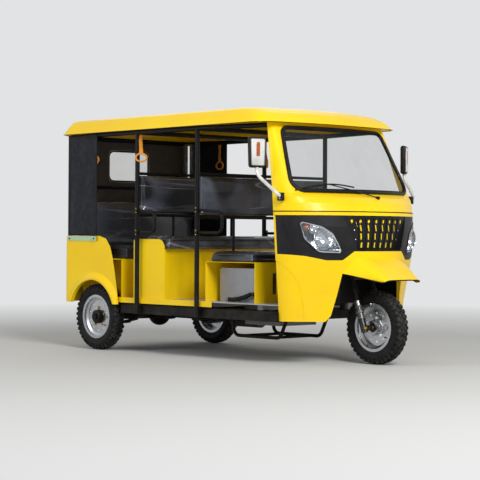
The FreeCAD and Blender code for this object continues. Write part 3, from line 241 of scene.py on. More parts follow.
def yellowPaint():
    paint = Paint("yellowPaint", finishes["yellow"], 0.36, Specular_IOR_Level=0.2, Coat_Weight=0.14,
                  Coat_Roughness=0.05)
    broad = paint.ranged(paint.noise(1.6, 2), 0.35, 0.65)
    colour = mixed(paint, broad * 0.35, finishes["yellow"], finishes["yellowDeep"])
    dust = lowDust(paint, 0.8) * 0.09
    paint.coloured(dust, colour, finishes["dust"])
    paint.drive("Roughness", paint.ranged(paint.noise(34, 4), 0.3, 0.7, 0.28, 0.42) + dust * 0.6)
    paint.bump(paint.noise(420, 2) * 0.5 + paint.noise(2.2, 1), 0.12, 0.0012)
    return paint.material


def blackPaint(name="blackPaint", colour="black", roughness=0.42, dusty=0.05):
    paint = Paint(name, finishes[colour], roughness, Specular_IOR_Level=0.14, Coat_Weight=0.05,
                  Coat_Roughness=0.15)
    dust = lowDust(paint, 0.9) * dusty
    speck = paint.ranged(paint.noise(160, 2), 0.62, 0.75) * 0.03
    paint.coloured(dust + speck, finishes[colour], finishes["dust"])
    paint.uneven(26, 4, roughness - 0.08, roughness + 0.1)
    paint.bump(paint.noise(380, 2), 0.1, 0.0008)
    return paint.material


def grainedPlastic(name="blackPlastic", colour="mask", roughness=0.46):
    paint = Paint(name, finishes[colour], roughness, Specular_IOR_Level=0.2)
    streak = paint.ranged(paint.noise(7, 4, 0.6), 0.4, 0.75) * 0.12
    paint.coloured(streak, finishes[colour], finishes["rubberDust"])
    paint.uneven(48, 4, roughness - 0.06, roughness + 0.1)
    paint.bump(paint.noise(900, 3), 0.22, 0.0006)
    return paint.material


def vinylCover():
    paint = Paint("blackVinyl", finishes["vinyl"], 0.38, Specular_IOR_Level=0.35)
    cells = paint.node("ShaderNodeTexVoronoi", {"feature": "DISTANCE_TO_EDGE"},
                       {"Vector": paint.place(), "Scale": 420}, output="Distance")
    creases = paint.noise(16, 6, 0.62)
    worn = paint.ranged(paint.noise(2.4, 2, 0.5), 0.45, 0.7) * 0.3
    paint.coloured(worn, finishes["vinyl"], finishes["vinylWorn"])
    paint.drive("Roughness", paint.ranged(creases, 0.3, 0.7, 0.30, 0.50))
    paint.bump(paint.ranged(cells, 0, 0.12) * 0.25 + creases, 0.35, 0.002)
    return paint.material


def tyreRubber():
    paint = Paint("tyreRubber", finishes["rubber"], 0.72, Specular_IOR_Level=0.25)
    tread = paint.node("ShaderNodeAttribute", {"attribute_name": "tread"}, output="Fac")
    dust = paint.ranged(paint.noise(24, 5, 0.62), 0.4, 0.72) * (tread * 0.75 + 0.12)
    paint.coloured(dust, finishes["rubber"], finishes["rubberDust"])
    paint.uneven(60, 3, 0.64, 0.82)
    paint.bump(paint.noise(300, 4), 0.25, 0.0012)
    return paint.material


def brightMetal(name, colour, roughness, grain=80, metallic=1.0):
    paint = Paint(name, colour, roughness, metallic)
    grimy = paint.ranged(paint.noise(14, 4, 0.6), 0.5, 0.8) * 0.18
    paint.coloured(grimy, colour, finishes["rubberDust"])
    paint.uneven(grain, 4, roughness * 0.7, roughness * 1.35)
    paint.bump(paint.noise(grain * 4, 2), 0.08, 0.0006)
    return paint.material


def exhaustMetal():
    paint = Paint("exhaustMetal", finishes["aluminium"], 0.55, 0.8)
    rusty = paint.ranged(paint.noise(18, 6, 0.7), 0.45, 0.62)
    paint.coloured(rusty, finishes["exhaustGrey"], finishes["rust"])
    paint.drive("Roughness", paint.ranged(rusty, 0, 1, 0.42, 0.85))
    paint.drive("Metallic", 0.85 - rusty * 0.7)
    paint.bump(paint.noise(120, 5) * rusty, 0.3, 0.0015)
    return paint.material


def clearGlass(name, colour=(0.05, 0.06, 0.06, 1), roughness=0.02, alpha=0.16):
    paint = Paint(name, colour, roughness, Specular_IOR_Level=0.5)
    smear = paint.ranged(paint.noise(5, 5, 0.6), 0.45, 0.8)
    paint.drive("Alpha", smear * 0.04 + alpha)
    paint.drive("Roughness", smear * 0.1 + roughness)
    return paint.material


def lensPlastic(name, colour):
    paint = Paint(name, colour, 0.12, Coat_Weight=0.8, Coat_Roughness=0.04, Transmission_Weight=0.25)
    flutes = paint.node("ShaderNodeTexVoronoi", {"feature": "F1"}, {"Vector": paint.place(), "Scale": 110},
                        output="Distance")
    darker = tuple(c * 0.45 for c in colour[:3]) + (1,)
    paint.coloured(paint.ranged(flutes, 0, 0.6), colour, darker)
    paint.bump(flutes, 0.4, 0.002)
    return paint.material


def strapWebbing():
    paint = Paint("strapWebbing", finishes["webbing"], 0.8, Sheen_Weight=0.3)
    ribs = paint.threads(160, 0.4)
    paint.coloured(ribs * 0.35, finishes["webbing"], finishes["webbingDeep"])
    paint.bump(ribs, 0.4, 0.001)
    return paint.material


def curtainVinyl():
    paint = Paint("curtainVinyl", finishes["curtain"], 0.5, Specular_IOR_Level=0.12)
    folds = paint.noise(3.2, 4, 0.6)
    # painted sheen: lighter colour where the bump's folds rise
    worn = paint.ranged(folds, 0.45, 0.7) * 0.25
    paint.coloured(worn, finishes["curtain"], finishes["curtainFoldSheen"])
    paint.uneven(20, 4, 0.38, 0.56)
    paint.bump(paint.threads(220, 0.2) * 0.2 + folds, 0.4, 0.004)
    return paint.material


def wrappedVinyl():  # dark vinyl in its clear film, with painted reflections in light patches and painted highlights along a few long creases
    paint = Paint("wrappedVinyl", finishes["vinyl"], 0.34, Specular_IOR_Level=0.35, Coat_Weight=0.35,
                  Coat_Roughness=0.06)
    drift = paint.stretched((1.0, 1.6, 2.2), (0.5, 0.3, 0.6))
    patch = paint.ranged(paint.noise(1.7, 1, 0.4, drift), 0.46, 0.58)
    pulled = paint.noise(3.4, 0, 0.4, paint.stretched((0.5, 0.35, 2.6), (0.7, 0.2, 0.3)))
    apart = paint.node("ShaderNodeMath", {"operation": "ABSOLUTE"}, {0: pulled - 0.5})
    ridge = paint.ranged(apart, 0.0, 0.022, 1, 0)
    # painted highlight: bright colour along the long creases
    bright = ridge * paint.ranged(paint.noise(2.3, 1, 0.4), 0.5, 0.6)
    # painted reflection: lighter colour in the patches where the film is also made shinier
    reflectionTinted = mixed(paint, patch * 0.75, finishes["vinyl"], finishes["filmReflection"])
    paint.coloured(bright * 0.4, reflectionTinted, finishes["filmHighlight"])
    paint.drive("Roughness", paint.ranged(patch, 0, 1, 0.38, 0.2))
    paint.bump(ridge * 0.25 + paint.noise(3.2, 2, 0.4, drift), 0.3, 0.006)
    return paint.material


def rearLining():
    paint = Paint("rearLining", finishes["lining"], 0.62, Sheen_Weight=0.1)
    soft = paint.ranged(paint.noise(2.6, 4, 0.6), 0.35, 0.7) * 0.35
    paint.coloured(soft, finishes["lining"], finishes["liningLight"])
    paint.uneven(20, 4, 0.55, 0.72)
    paint.bump(paint.threads(240, 0.3) * 0.2 + paint.noise(3, 4), 0.35, 0.003)
    return paint.material


def mirrorFilm():  # pale film drawn tight over a dark shell, darker in random patches where it thins out
    paint = Paint("mirrorFilm", finishes["filmPale"], 0.3, Specular_IOR_Level=0.4, Coat_Weight=0.4,
                  Coat_Roughness=0.1)
    crease = paint.noise(26, 3, 0.5)
    thin = paint.ranged(paint.noise(9, 2, 0.5), 0.4, 0.65) * 0.35
    paint.coloured(thin, finishes["filmPale"], finishes["filmThin"])
    paint.bump(crease, 0.35, 0.002)
    return paint.material


def lampReflector():
    paint = Paint("lampReflector", finishes["lampSilver"], 0.14, 1.0)
    smudge = paint.ranged(paint.noise(18, 4), 0.35, 0.7)
    paint.drive("Roughness", paint.ranged(smudge, 0, 1, 0.08, 0.2))
    paint.coloured(smudge * 0.3, finishes["lampSilver"], finishes["lampSmudge"])
    return paint.material


def paleStrip():
    paint = Paint("paleStrip", finishes["pale"], 0.5, Coat_Weight=0.3)
    rubbed = paint.ranged(paint.noise(22, 5, 0.6), 0.42, 0.7) * 0.4
    paint.coloured(rubbed, finishes["pale"], finishes["paleWorn"])
    paint.uneven(30, 4, 0.42, 0.6)
    paint.bump(paint.noise(260, 3), 0.15, 0.0008)
    return paint.material


forkBands = {  # where the fork's finishes change, by height up the leg
    "foot": (1.228, 0.255), "lean": (-0.3256, 0.9455), "clamp": 0.074, "bright": 0.156, "gaiter": 0.189,
}


def forkPaint():  # from the foot up: black slider, grey clamp, bright tube, black gaiter and yoke
    paint = Paint("forkPaint", finishes["silver"], 0.25, 1.0)
    footX, footZ = forkBands["foot"]
    leanX, leanZ = forkBands["lean"]
    lift = (paint.along("X") - footX) * leanX + (paint.along("Z") - footZ) * leanZ
    clamp = paint.ranged(lift, forkBands["clamp"], forkBands["clamp"] + 0.002)
    bright = paint.ranged(lift, forkBands["bright"], forkBands["bright"] + 0.002)
    gaiter = paint.ranged(lift, forkBands["gaiter"], forkBands["gaiter"] + 0.001)
    grimy = paint.ranged(paint.noise(26, 5, 0.65), 0.45, 0.75) * 0.4
    foot = mixed(paint, clamp, finishes["black"], finishes["clampGrey"])
    tube = mixed(paint, bright, foot, mixed(paint, grimy, finishes["tubeSilver"], finishes["rubberDust"]))
    paint.coloured(gaiter, tube, finishes["black"])
    paint.drive("Metallic", clamp * 0.6 + bright * 0.4 - gaiter * 0.95)
    paint.drive("Roughness", paint.ranged(gaiter, 0, 1, 0.24, 0.55) + grimy * 0.2)
    paint.bump(paint.noise(220, 3), 0.12, 0.0008)
    return paint.material


materials = {
    "yellow": yellowPaint(),
    "black": blackPaint(),
    "chassis": blackPaint("chassisPaint", "black", 0.55, 0.06),
    "plastic": grainedPlastic(),
    "seal": grainedPlastic("sealRubber", "black", 0.6),
    "vinyl": vinylCover(),
    "curtain": curtainVinyl(),
    "tyre": tyreRubber(),
    "chrome": brightMetal("chromeRim", tint(214, 216, 220), 0.12),
    "silver": brightMetal("silverRim", tint(186, 188, 192), 0.26, 24),
    "boltMetal": brightMetal("boltMetal", tint(234, 235, 238), 0.42, 60, 0.45),
    "aluminium": brightMetal("radiatorMetal", finishes["aluminium"], 0.42),
    "engine": brightMetal("engineMetal", tint(120, 120, 118), 0.5),
    "floorMetal": brightMetal("floorMetal", tint(186, 187, 190), 0.5, metallic=0.35),
    "fork": forkPaint(),
    "brass": brightMetal("brassScrew", tint(206, 168, 88), 0.28),
    "grease": grainedPlastic("greaseCap", "black", 0.34),
    "coreMetal": brightMetal("coreMetal", tint(58, 60, 64), 0.45, metallic=0.6),
    "film": wrappedVinyl(),
    "rearWall": rearLining(),
    "paleStrip": paleStrip(),
    "mirrorFilm": mirrorFilm(),
    "reflector": lampReflector(),
    "mirrorGlass": brightMetal("mirrorGlass", tint(200, 206, 210), 0.04),
    "bulb": clearGlass("bulbGlass", (0.95, 0.96, 1, 1), 0.05, 0.6),
    "clearSheet": clearGlass("clearSheet", (0.86, 0.87, 0.88, 1), 0.08, 0.20),
    "exhaust": exhaustMetal(),
    "glass": clearGlass("screenGlass", alpha=0.13),
    "clear": clearGlass("clearVinyl", (0.9, 0.92, 0.94, 1), 0.12, 0.22),
    "lens": clearGlass("clearLens", (0.35, 0.40, 0.46, 1), 0.03, 0.10),
    "amber": lensPlastic("amberLens", finishes["amber"]),
    "red": lensPlastic("redLens", finishes["red"]),
    "webbing": strapWebbing(),
}

nodeFinish = {
    "yellow": ["cab_front", "rear_body", "roof", "rear_seat_base", "middle_bench", "driver_seat_base",
               "side_sills", "beak"],
    "black": ["upper_frame", "grab_handles", "skid_bar", "handlebar", "mirrors", "front_bulkhead"],
    "chassis": ["chassis_frame", "leaf_springs", "rear_axle", "propeller_shaft"],
    "floorMetal": ["floor_pan"],
    "plastic": ["front_mask", "grille", "dashboard", "wiper"],
    "seal": ["windscreen_seal", "radiator_hose"],
    "vinyl": ["rear_cushion", "middle_cushion", "driver_cushion", "rear_backrest", "middle_backrest",
              "driver_backrest"],
    "curtain": ["side_curtains", "rear_curtain"],
    "tyre": ["front_tyre", "rear_right_tyre", "rear_left_tyre"],
    "chrome": ["headlamps"],
    "silver": ["front_rim", "rear_right_rim", "rear_left_rim"],
    "aluminium": ["radiator"],
    "engine": ["engine_block"],
    "fork": ["fork"],
    "exhaust": ["exhaust"],
    "glass": ["windscreen_glass"],
    "clear": ["rear_window"],
    "lens": ["headlamp_lenses", "front_indicators"],
    "red": ["tail_lamps"],
    "webbing": ["hand_straps"],
}

for finish, members in nodeFinish.items():
    for member in members:
        data = nodes[member].data
        data.materials.clear()
        data.materials.append(materials[finish])

print("materials on the frame's nodes")


# tools shared by the pieces

def finished(name, shape, finish, body="vehicle_body", sharp=38, merge=True):
    if merge:
        bmesh.ops.remove_doubles(shape, verts=shape.verts, dist=0.00003)
        bmesh.ops.recalc_face_normals(shape, faces=shape.faces)
    mesh = bpy.data.meshes.new(name)
    shape.to_mesh(mesh)
    shape.free()
    mesh.materials.append(materials[finish])
    mesh.polygons.foreach_set("use_smooth", [True] * len(mesh.polygons))
    mesh.set_sharp_from_angle(angle=radians(sharp))
    piece = bpy.data.objects.new(name, mesh)
    bpy.context.scene.collection.objects.link(piece)
    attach(piece, body)
    return piece


def spunProfile(shape, profile, steps, closed=False):  # (across, radius) pairs turned about Y
    corners = [shape.verts.new((0, across, radius)) for across, radius in profile]
    edges = [shape.edges.new(pair) for pair in zip(corners, corners[1:])]
    if closed:
        edges.append(shape.edges.new((corners[-1], corners[0])))
    bmesh.ops.spin(shape, geom=corners + edges, cent=(0, 0, 0), axis=(0, 1, 0), dvec=(0, 0, 0), angle=2 * pi,
                   steps=steps, use_merge=True)


def placed(shape, place, turn=None, verts=None):
    chosen = list(verts or shape.verts)
    if turn is not None:
        bmesh.ops.transform(shape, matrix=turn.to_4x4(), verts=chosen)
    bmesh.ops.translate(shape, vec=Vector(place), verts=chosen)


def vertsOf(geometry):
    return [g for g in geometry if isinstance(g, bmesh.types.BMVert)]


def allOf(shape):
    return list(shape.verts) + list(shape.edges) + list(shape.faces)


def newVerts(shape, before):  # what has been made since the corners in before
    return [v for v in shape.verts if v not in before]


def placedNew(shape, before, place, turn):
    placed(shape, place, turn, newVerts(shape, before))


def skinOf(node):  # a CAD node's mesh with its doubled corners welded
    shape = bmesh.new()
    shape.from_mesh(nodes[node].data)
    bmesh.ops.remove_doubles(shape, verts=shape.verts, dist=0.00002)
    return shape


def thickened(piece, thickness):
    thick = piece.modifiers.new("thick", "SOLIDIFY")
    thick.thickness = thickness
    thick.offset = 0


def facing(direction):  # turns +Y to a direction
    return Vector(direction).normalized().to_track_quat("Y", "Z").to_matrix()


def tubeAlong(shape, points, radius, cyclic=False, smooth=True, sides=2):
    line = bpy.data.curves.new("line", "CURVE")
    line.dimensions = "3D"
    line.bevel_depth = radius
    line.bevel_resolution = sides
    line.use_fill_caps = True
    line.resolution_u = 6
    run = line.splines.new("NURBS" if smooth else "POLY")
    run.points.add(len(points) - 1)
    for spot, point in zip(run.points, points):
        spot.co = (*point, 1)
    run.use_cyclic_u = cyclic
    if smooth:
        run.order_u = 3
        run.use_endpoint_u = not cyclic
    holder = bpy.data.objects.new("line", line)
    mesh = bpy.data.meshes.new_from_object(holder)
    shape.from_mesh(mesh)
    bpy.data.objects.remove(holder)
    bpy.data.curves.remove(line)
    bpy.data.meshes.remove(mesh)


def slab(shape, low, high, edge, segments=2):  # block between two corners, its edges rounded
    made = bmesh.ops.create_cube(shape, size=1)["verts"]
    low, high = Vector(low), Vector(high)
    bmesh.ops.scale(shape, vec=high - low, verts=made)
    bmesh.ops.translate(shape, vec=(low + high) / 2, verts=made)
    rims = list({e for v in made for e in v.link_edges})
    bmesh.ops.bevel(shape, geom=rims, offset=edge, affect="EDGES", segments=segments, profile=0.5, material=-1)


def fastener(shape, place, outward, radius, height):  # domed head with a small recess
    before = set(shape.verts)
    profile = [(0, 0), (0, radius), (height * 0.45, radius * 0.97), (height * 0.85, radius * 0.7),
               (height, radius * 0.34), (height * 0.55, radius * 0.28), (height * 0.55, 0)]
    spunProfile(shape, profile, 12)
    placedNew(shape, before, place, facing(outward))


def nutHead(shape, place, outward, radius, height):  # hexagon head with its stud
    before = set(shape.verts)
    made = bmesh.ops.create_circle(shape, cap_ends=True, radius=radius, segments=6)["verts"]
    bmesh.ops.rotate(shape, cent=(0, 0, 0), matrix=Matrix.Rotation(-pi / 2, 3, "X"), verts=made)
    top = bmesh.ops.extrude_face_region(shape, geom=[f for v in made for f in v.link_faces][:1])["geom"]
    bmesh.ops.translate(shape, vec=(0, height, 0), verts=vertsOf(top))
    cap = [g for g in top if isinstance(g, bmesh.types.BMFace)]
    bmesh.ops.inset_region(shape, faces=cap, thickness=radius * 0.36, depth=0)
    bmesh.ops.translate(shape, vec=(0, height * 0.6, 0), verts=list({v for f in cap for v in f.verts}))
    placedNew(shape, before, place, facing(outward))


skins = {}


def treeOf(mesh):
    return BVHTree.FromPolygons([v.co for v in mesh.vertices], [p.vertices for p in mesh.polygons])


def hit(node, start, direction):  # where a ray first meets a CAD node
    if node not in skins:
        skins[node] = treeOf(nodes[node].data)
    spot, normal = skins[node].ray_cast(Vector(start), Vector(direction))[:2]
    if spot is None:
        raise ValueError(f"nothing of {node} on the ray from {start}")
    return spot, normal


def around(shape, count):  # repeats what is there round Y
    first = allOf(shape)
    for step in range(1, count):
        copy = bmesh.ops.duplicate(shape, geom=first)["geom"]
        bmesh.ops.rotate(shape, cent=(0, 0, 0), matrix=Matrix.Rotation(2 * pi * step / count, 3, "Y"),
                         verts=vertsOf(copy))


# tyres: carcass with tread blocks

tyre = {
    # half width and radius from the bead to the crown
    "section": [(0.0396, 0.1526), (0.0396, 0.1690), (0.0425, 0.1700), (0.0452, 0.1745), (0.0462, 0.1790),
                (0.0484, 0.1850), (0.0506, 0.1930), (0.0526, 0.2035), (0.0538, 0.2060), (0.0536, 0.2120),
                (0.0524, 0.2150), (0.0510, 0.2240), (0.0484, 0.2316), (0.0430, 0.2382), (0.0362, 0.2422),
                (0.0258, 0.2444), (0.0120, 0.2453)],
    "crown": 0.2455,
    "pitches": 38, "steps": 76, "depth": 0.0094, "sunk": 0.0012, "taper": (0.12, 0.10),
    "shoulderFrom": 0.05, "shoulderLow": 0.7, "dustFrom": 0.236, "dustOver": 0.008,
    # corners of the blocks on one side of the middle: along the pitch, and out from the middle
    "blocks": [
        [(0.02, 0.0015), (0.66, 0.0015), (0.80, 0.0080), (0.66, 0.0150), (0.06, 0.0150), (0.20, 0.0080)],
        [(0.34, 0.0185), (0.90, 0.0185), (1.04, 0.0255), (0.92, 0.0320), (0.36, 0.0320), (0.48, 0.0255)],
        [(0.04, 0.0355), (0.60, 0.0355), (0.64, 0.0480), (0.52, 0.0660), (0.18, 0.0660), (0.06, 0.0480)],
    ],
    # where each row of blocks is cut, to bend over the shoulder
    "cuts": [[], [], [0.0430, 0.0510, 0.0585]],
}


def treadLine():  # distance from the middle, across and radius, along the half section
    half = [(0.0, tyre["crown"])] + tyre["section"][:8:-1]
    line, run = [], 0.0
    for spot, (across, radius) in enumerate(half):
        if spot:
            run += hypot(across - half[spot - 1][0], radius - half[spot - 1][1])
        line.append((run, across, radius))
    return line


def wrapped(point, line):  # a flat tread point bent on to the tyre
    distance, lift = abs(point.y), point.z
    side = 1 if point.y >= 0 else -1
    for first, second in zip(line, line[1:]):
        if distance <= second[0] or second is line[-1]:
            share = (distance - first[0]) / (second[0] - first[0])
            across = first[1] + (second[1] - first[1]) * share
            radius = first[2] + (second[2] - first[2]) * share
            slope = Vector((second[1] - first[1], second[2] - first[2])).normalized()
            outward = Vector((-slope.y, slope.x))
            break
    lean = min(1, distance / tyre["shoulderFrom"]) ** 2
    across += lift * (outward.x * lean)
    radius += lift * (outward.y * lean + 1 - lean)
    angle = point.x / tyre["crown"]
    return Vector((radius * sin(angle), side * across, radius * cos(angle)))


def treadBlock(shape, corners, side, pitchLong):  # one block that stands on the flat tread
    lead = 0.5 if side < 0 else 0.0
    flat = [shape.verts.new(((along + lead) * pitchLong, side * out, -tyre["sunk"])) for along, out in corners]
    top = vertsOf(bmesh.ops.extrude_face_region(shape, geom=[shape.faces.new(flat)])["geom"])
    middle = sum((v.co for v in top), Vector()) / len(top)
    bmesh.ops.translate(shape, vec=(0, 0, tyre["depth"] + tyre["sunk"]), verts=top)
    taperLong, taperWide = tyre["taper"]
    for corner in top:
        corner.co.x += (middle.x - corner.co.x) * taperLong
        corner.co.y += (middle.y - corner.co.y) * taperWide
        if abs(corner.co.y) > tyre["shoulderFrom"]:
            corner.co.z *= tyre["shoulderLow"]


def makeTyre(name, body, node, centre):
    shape = bmesh.new()
    pitchLong = 2 * pi * tyre["crown"] / tyre["pitches"]
    for side in (1, -1):
        for corners, cuts in zip(tyre["blocks"], tyre["cuts"]):
            before = set(shape.verts)
            treadBlock(shape, corners, side, pitchLong)
            for cut in cuts:
                parts = {g for v in newVerts(shape, before) for g in [v, *v.link_edges, *v.link_faces]}
                bmesh.ops.bisect_plane(shape, geom=list(parts), plane_co=(0, side * cut, 0), plane_no=(0, 1, 0))
    line = treadLine()
    for corner in shape.verts:
        corner.co = wrapped(corner.co, line)
    around(shape, tyre["pitches"])
    outside = tyre["section"]
    profile = outside + [(0, tyre["crown"])] + [(-across, radius) for across, radius in reversed(outside)]
    spunProfile(shape, profile, tyre["steps"], closed=True)
    bmesh.ops.recalc_face_normals(shape, faces=shape.faces)
    placed(shape, centre)
    piece = finished(name, shape, "tyre", body, sharp=30, merge=False)
    worn = piece.data.attributes.new("tread", "FLOAT", "POINT")
    reach = [hypot(v.co.x - centre[0], v.co.z - centre[2]) for v in piece.data.vertices]
    dust = [(far - tyre["dustFrom"]) / tyre["dustOver"] for far in reach]
    worn.data.foreach_set("value", [min(1, max(0, share)) for share in dust])
    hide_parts(node)


axles = {
    "front": {"body": "front_wheel", "rim": "front_rim", "centre": (1.264, 0, 0.255), "outward": -1},
    "rear_right": {"body": "rear_wheel_right", "rim": "rear_right_rim", "centre": (-1.087, -0.5935, 0.255),
                   "outward": -1},
    "rear_left": {"body": "rear_wheel_left", "rim": "rear_left_rim", "centre": (-1.087, 0.5935, 0.255),
                  "outward": 1},
}

for wheelName, axle in axles.items():
    makeTyre(wheelName + "_treaded_tyre", axle["body"], wheelName + "_tyre", axle["centre"])
print("tyres made")


# wheel bolts, nuts, hub caps and valves

wheelTrim = {
    "frontBolts": {"head": fastener, "ring": 0.099, "count": 10, "size": 0.0088, "high": 0.006},
    "frontNuts": {"head": nutHead, "ring": 0.066, "count": 5, "size": 0.0115, "high": 0.008},
    "rearNuts": {"head": nutHead, "ring": 0.070, "count": 5, "size": 0.0115, "high": 0.008},
    "rearBolts": {"head": fastener, "ring": 0.108, "count": 10, "size": 0.0060, "high": 0.006},
    # hub cap: distance out from the wheel's middle, and radius
    "cap": [(0.0165, 0.0488), (0.0165, 0.0545), (0.0200, 0.0545), (0.0215, 0.0500), (0.0450, 0.0500),
            (0.0485, 0.0460), (0.0505, 0.0380), (0.0505, 0.0210), (0.0470, 0.0190), (0.0468, 0.0)],
    "frontRing": [(0.0030, 0.0488), (0.0030, 0.0590), (0.0060, 0.0590), (0.0085, 0.0510), (0.0420, 0.0500),
                  (0.0464, 0.0490), (0.0470, 0.0440), (0.0468, 0.0300), (0.0440, 0.0260), (0.0440, 0.0175)],
    "frontCap": [(0.0440, 0.0300), (0.0478, 0.0300), (0.0490, 0.0285), (0.0490, 0.0165), (0.0480, 0.0160)],
    "frontSleeve": [(0.0460, 0.0150), (0.0560, 0.0150), (0.0570, 0.0140), (0.0570, 0.0095)],
    # valve: out from the wheel's middle, then each bend's way out and down
    "valve": {"radius": 0.0042, "ring": 0.141, "out": 0.030, "turn": 118,
              "bends": [(0, 0), (0.008, -0.004), (0.020, -0.014)]},
    "sunk": 0.0005,
}


def boltRing(name, axle, given, finish, sides=(1,)):
    shape = bmesh.new()
    centre = Vector(axle["centre"])
    for side in sides:
        out = side * axle["outward"]
        start = centre + Vector((0, out * 0.3, given["ring"]))
        face = (hit(axle["rim"], start, (0, -out, 0))[0] - centre).y
        place = (0, face - out * wheelTrim["sunk"], given["ring"])
        given["head"](shape, place, (0, out, 0), given["size"], given["high"])
    bmesh.ops.remove_doubles(shape, verts=shape.verts, dist=0.00003)
    bmesh.ops.recalc_face_normals(shape, faces=shape.faces)
    around(shape, given["count"])
    placed(shape, axle["centre"])
    finished(name, shape, finish, axle["body"], merge=False)


def hubPiece(name, axle, profile, finish, sides=(1,)):
    shape = bmesh.new()
    for side in sides:
        spunProfile(shape, [(side * axle["outward"] * out, radius) for out, radius in profile], 40)
    placed(shape, axle["centre"])
    finished(name, shape, finish, axle["body"], sharp=30)


def valveStem(name, axle):
    shape = bmesh.new()
    given = wheelTrim["valve"]
    start = Vector((0, axle["outward"] * given["out"], given["ring"]))
    line = [start + Vector((0, axle["outward"] * out, down)) for out, down in given["bends"]]
    tubeAlong(shape, line, given["radius"], sides=1)
    bmesh.ops.rotate(shape, cent=(0, 0, 0), matrix=Matrix.Rotation(radians(given["turn"]), 3, "Y"),
                     verts=shape.verts)
    placed(shape, axle["centre"])
    finished(name, shape, "seal", axle["body"])


for wheelName, axle in axles.items():
    if wheelName == "front":
        both = (1, -1)
        boltRing("front_disc_bolts", axle, wheelTrim["frontBolts"], "boltMetal", both)
        boltRing("front_hub_nuts", axle, wheelTrim["frontNuts"], "boltMetal", both)
        hubPiece("front_hub_rings", axle, wheelTrim["frontRing"], "silver", both)
        hubPiece("front_hub_caps", axle, wheelTrim["frontCap"], "grease", both)
        hubPiece("front_axle_sleeves", axle, wheelTrim["frontSleeve"], "brass", both)
    else:
        boltRing(wheelName + "_wheel_nuts", axle, wheelTrim["rearNuts"], "brass")
        boltRing(wheelName + "_disc_bolts", axle, wheelTrim["rearBolts"], "boltMetal")
        hubPiece(wheelName + "_hub_cap", axle, wheelTrim["cap"], "grease")
    valveStem(wheelName + "_valve", axle)
print("wheel trim made")


# fork: clamp collars, gaiter folds and the axle's end bolts

forkTrim = {
    "foot": forkBands["foot"], "rake": 19.0, "spread": 0.096, "bore": 0.0165,
    # height up the leg, radius, thickness
    "collars": [(0.068, 0.0262, 0.010), (0.112, 0.0290, 0.022), (0.150, 0.0275, 0.012)],
    "folds": [0.2815, 0.2940, 0.3065, 0.3190, 0.3315], "foldRadius": 0.0225, "foldThick": 0.009,
    "nutOut": 0.110, "nutSize": 0.0135, "nutHigh": 0.010,
}


def legRings(shape, rings, rounded):
    lean, bore = radians(forkTrim["rake"]), forkTrim["bore"]
    footX, footZ = forkTrim["foot"]
    for side in (-1, 1):
        for lift, radius, thick in rings:
            before = set(shape.verts)
            half, edge = thick / 2, thick * rounded
            spunProfile(shape, [(-half, bore), (-half, radius - edge), (edge - half, radius),
                                (half - edge, radius), (half, radius - edge), (half, bore)], 28)
            place = (footX - sin(lean) * lift, side * forkTrim["spread"], footZ + cos(lean) * lift)
            placedNew(shape, before, place, facing((-sin(lean), 0, cos(lean))))


def forkDetails():
    collars = bmesh.new()
    legRings(collars, forkTrim["collars"], 0.16)
    finished("fork_collars", collars, "engine", "fork_assembly")
    folds = bmesh.new()
    rings = [(lift, forkTrim["foldRadius"], forkTrim["foldThick"]) for lift in forkTrim["folds"]]
    legRings(folds, rings, 0.4)
    finished("gaiter_folds", folds, "seal", "fork_assembly", sharp=60)
    nuts = bmesh.new()
    axleX, axleY, axleZ = axles["front"]["centre"]
    for side in (-1, 1):
        place = (axleX, axleY + side * forkTrim["nutOut"], axleZ)
        nutHead(nuts, place, (0, side, 0), forkTrim["nutSize"], forkTrim["nutHigh"])
    finished("axle_end_nuts", nuts, "brass", "fork_assembly")


forkDetails()


# cushions and backrests, swollen as cloth over their filling

pads = {  # axis is the one along which a pad rests on its board
    "rear_seat_pad": {
        "node": "rear_cushion", "low": (-1.283, -0.600, 0.7045), "high": (-0.762, 0.600, 0.796), "axis": 2,
        "finish": "vinyl", "edge": 0.016, "voxel": 0.010, "pressure": 4.0, "cap": 0.011, "folds": 0.0018,
        "fill": 0.75, "seams": (0.774,)},
    "middle_seat_pad": {
        "node": "middle_cushion", "low": (-0.545, -0.608, 0.7825), "high": (-0.244, 0.608, 0.870), "axis": 2,
        "finish": "film", "edge": 0.016, "voxel": 0.010, "pressure": 4.0, "cap": 0.011, "folds": 0.0026,
        "fill": 0.7, "seams": (0.846,)},
    "driver_seat_pad": {
        "node": "driver_cushion", "low": (0.134, -0.546, 0.6975), "high": (0.586, 0.546, 0.764), "axis": 2,
        "finish": "film", "edge": 0.016, "voxel": 0.010, "pressure": 4.0, "cap": 0.012, "folds": 0.0026,
        "fill": 0.75, "seams": (0.742,)},
    "rear_back_pad": {
        "node": "rear_backrest", "low": (-1.411, -0.572, 0.7045), "high": (-1.322, 0.572, 1.158), "axis": 0,
        "finish": "film", "edge": 0.010, "voxel": 0.011, "pressure": 3.5, "cap": 0.012, "folds": 0.002,
        "fill": 0.65, "seams": (), "lean": {"from": 0.83, "to": 1.158, "low": 0.033, "high": -0.006}},
    "middle_back_pad": {
        "node": "middle_backrest", "low": (-0.5835, -0.634, 1.0495), "high": (-0.5485, 0.634, 1.3325),
        "axis": 0, "finish": "film", "edge": 0.010, "voxel": 0.009, "pressure": 2.5, "cap": 0.006,
        "folds": 0.0014, "fill": 0.6, "seams": ()},
    "driver_back_pad": {
        "node": "driver_backrest", "low": (0.0975, -0.634, 1.0305), "high": (0.1325, 0.634, 1.3125),
        "axis": 0, "finish": "film", "edge": 0.010, "voxel": 0.009, "pressure": 2.5, "cap": 0.006,
        "folds": 0.0014, "fill": 0.6, "seams": ()},
}

padWork = {"heldMargin": 1.2, "frames": 20, "quality": 4, "pipeRadius": 0.0032, "pipeCorner": 0.03,
           "pipeProud": 0.0008, "pipeSteps": (24, 10)}


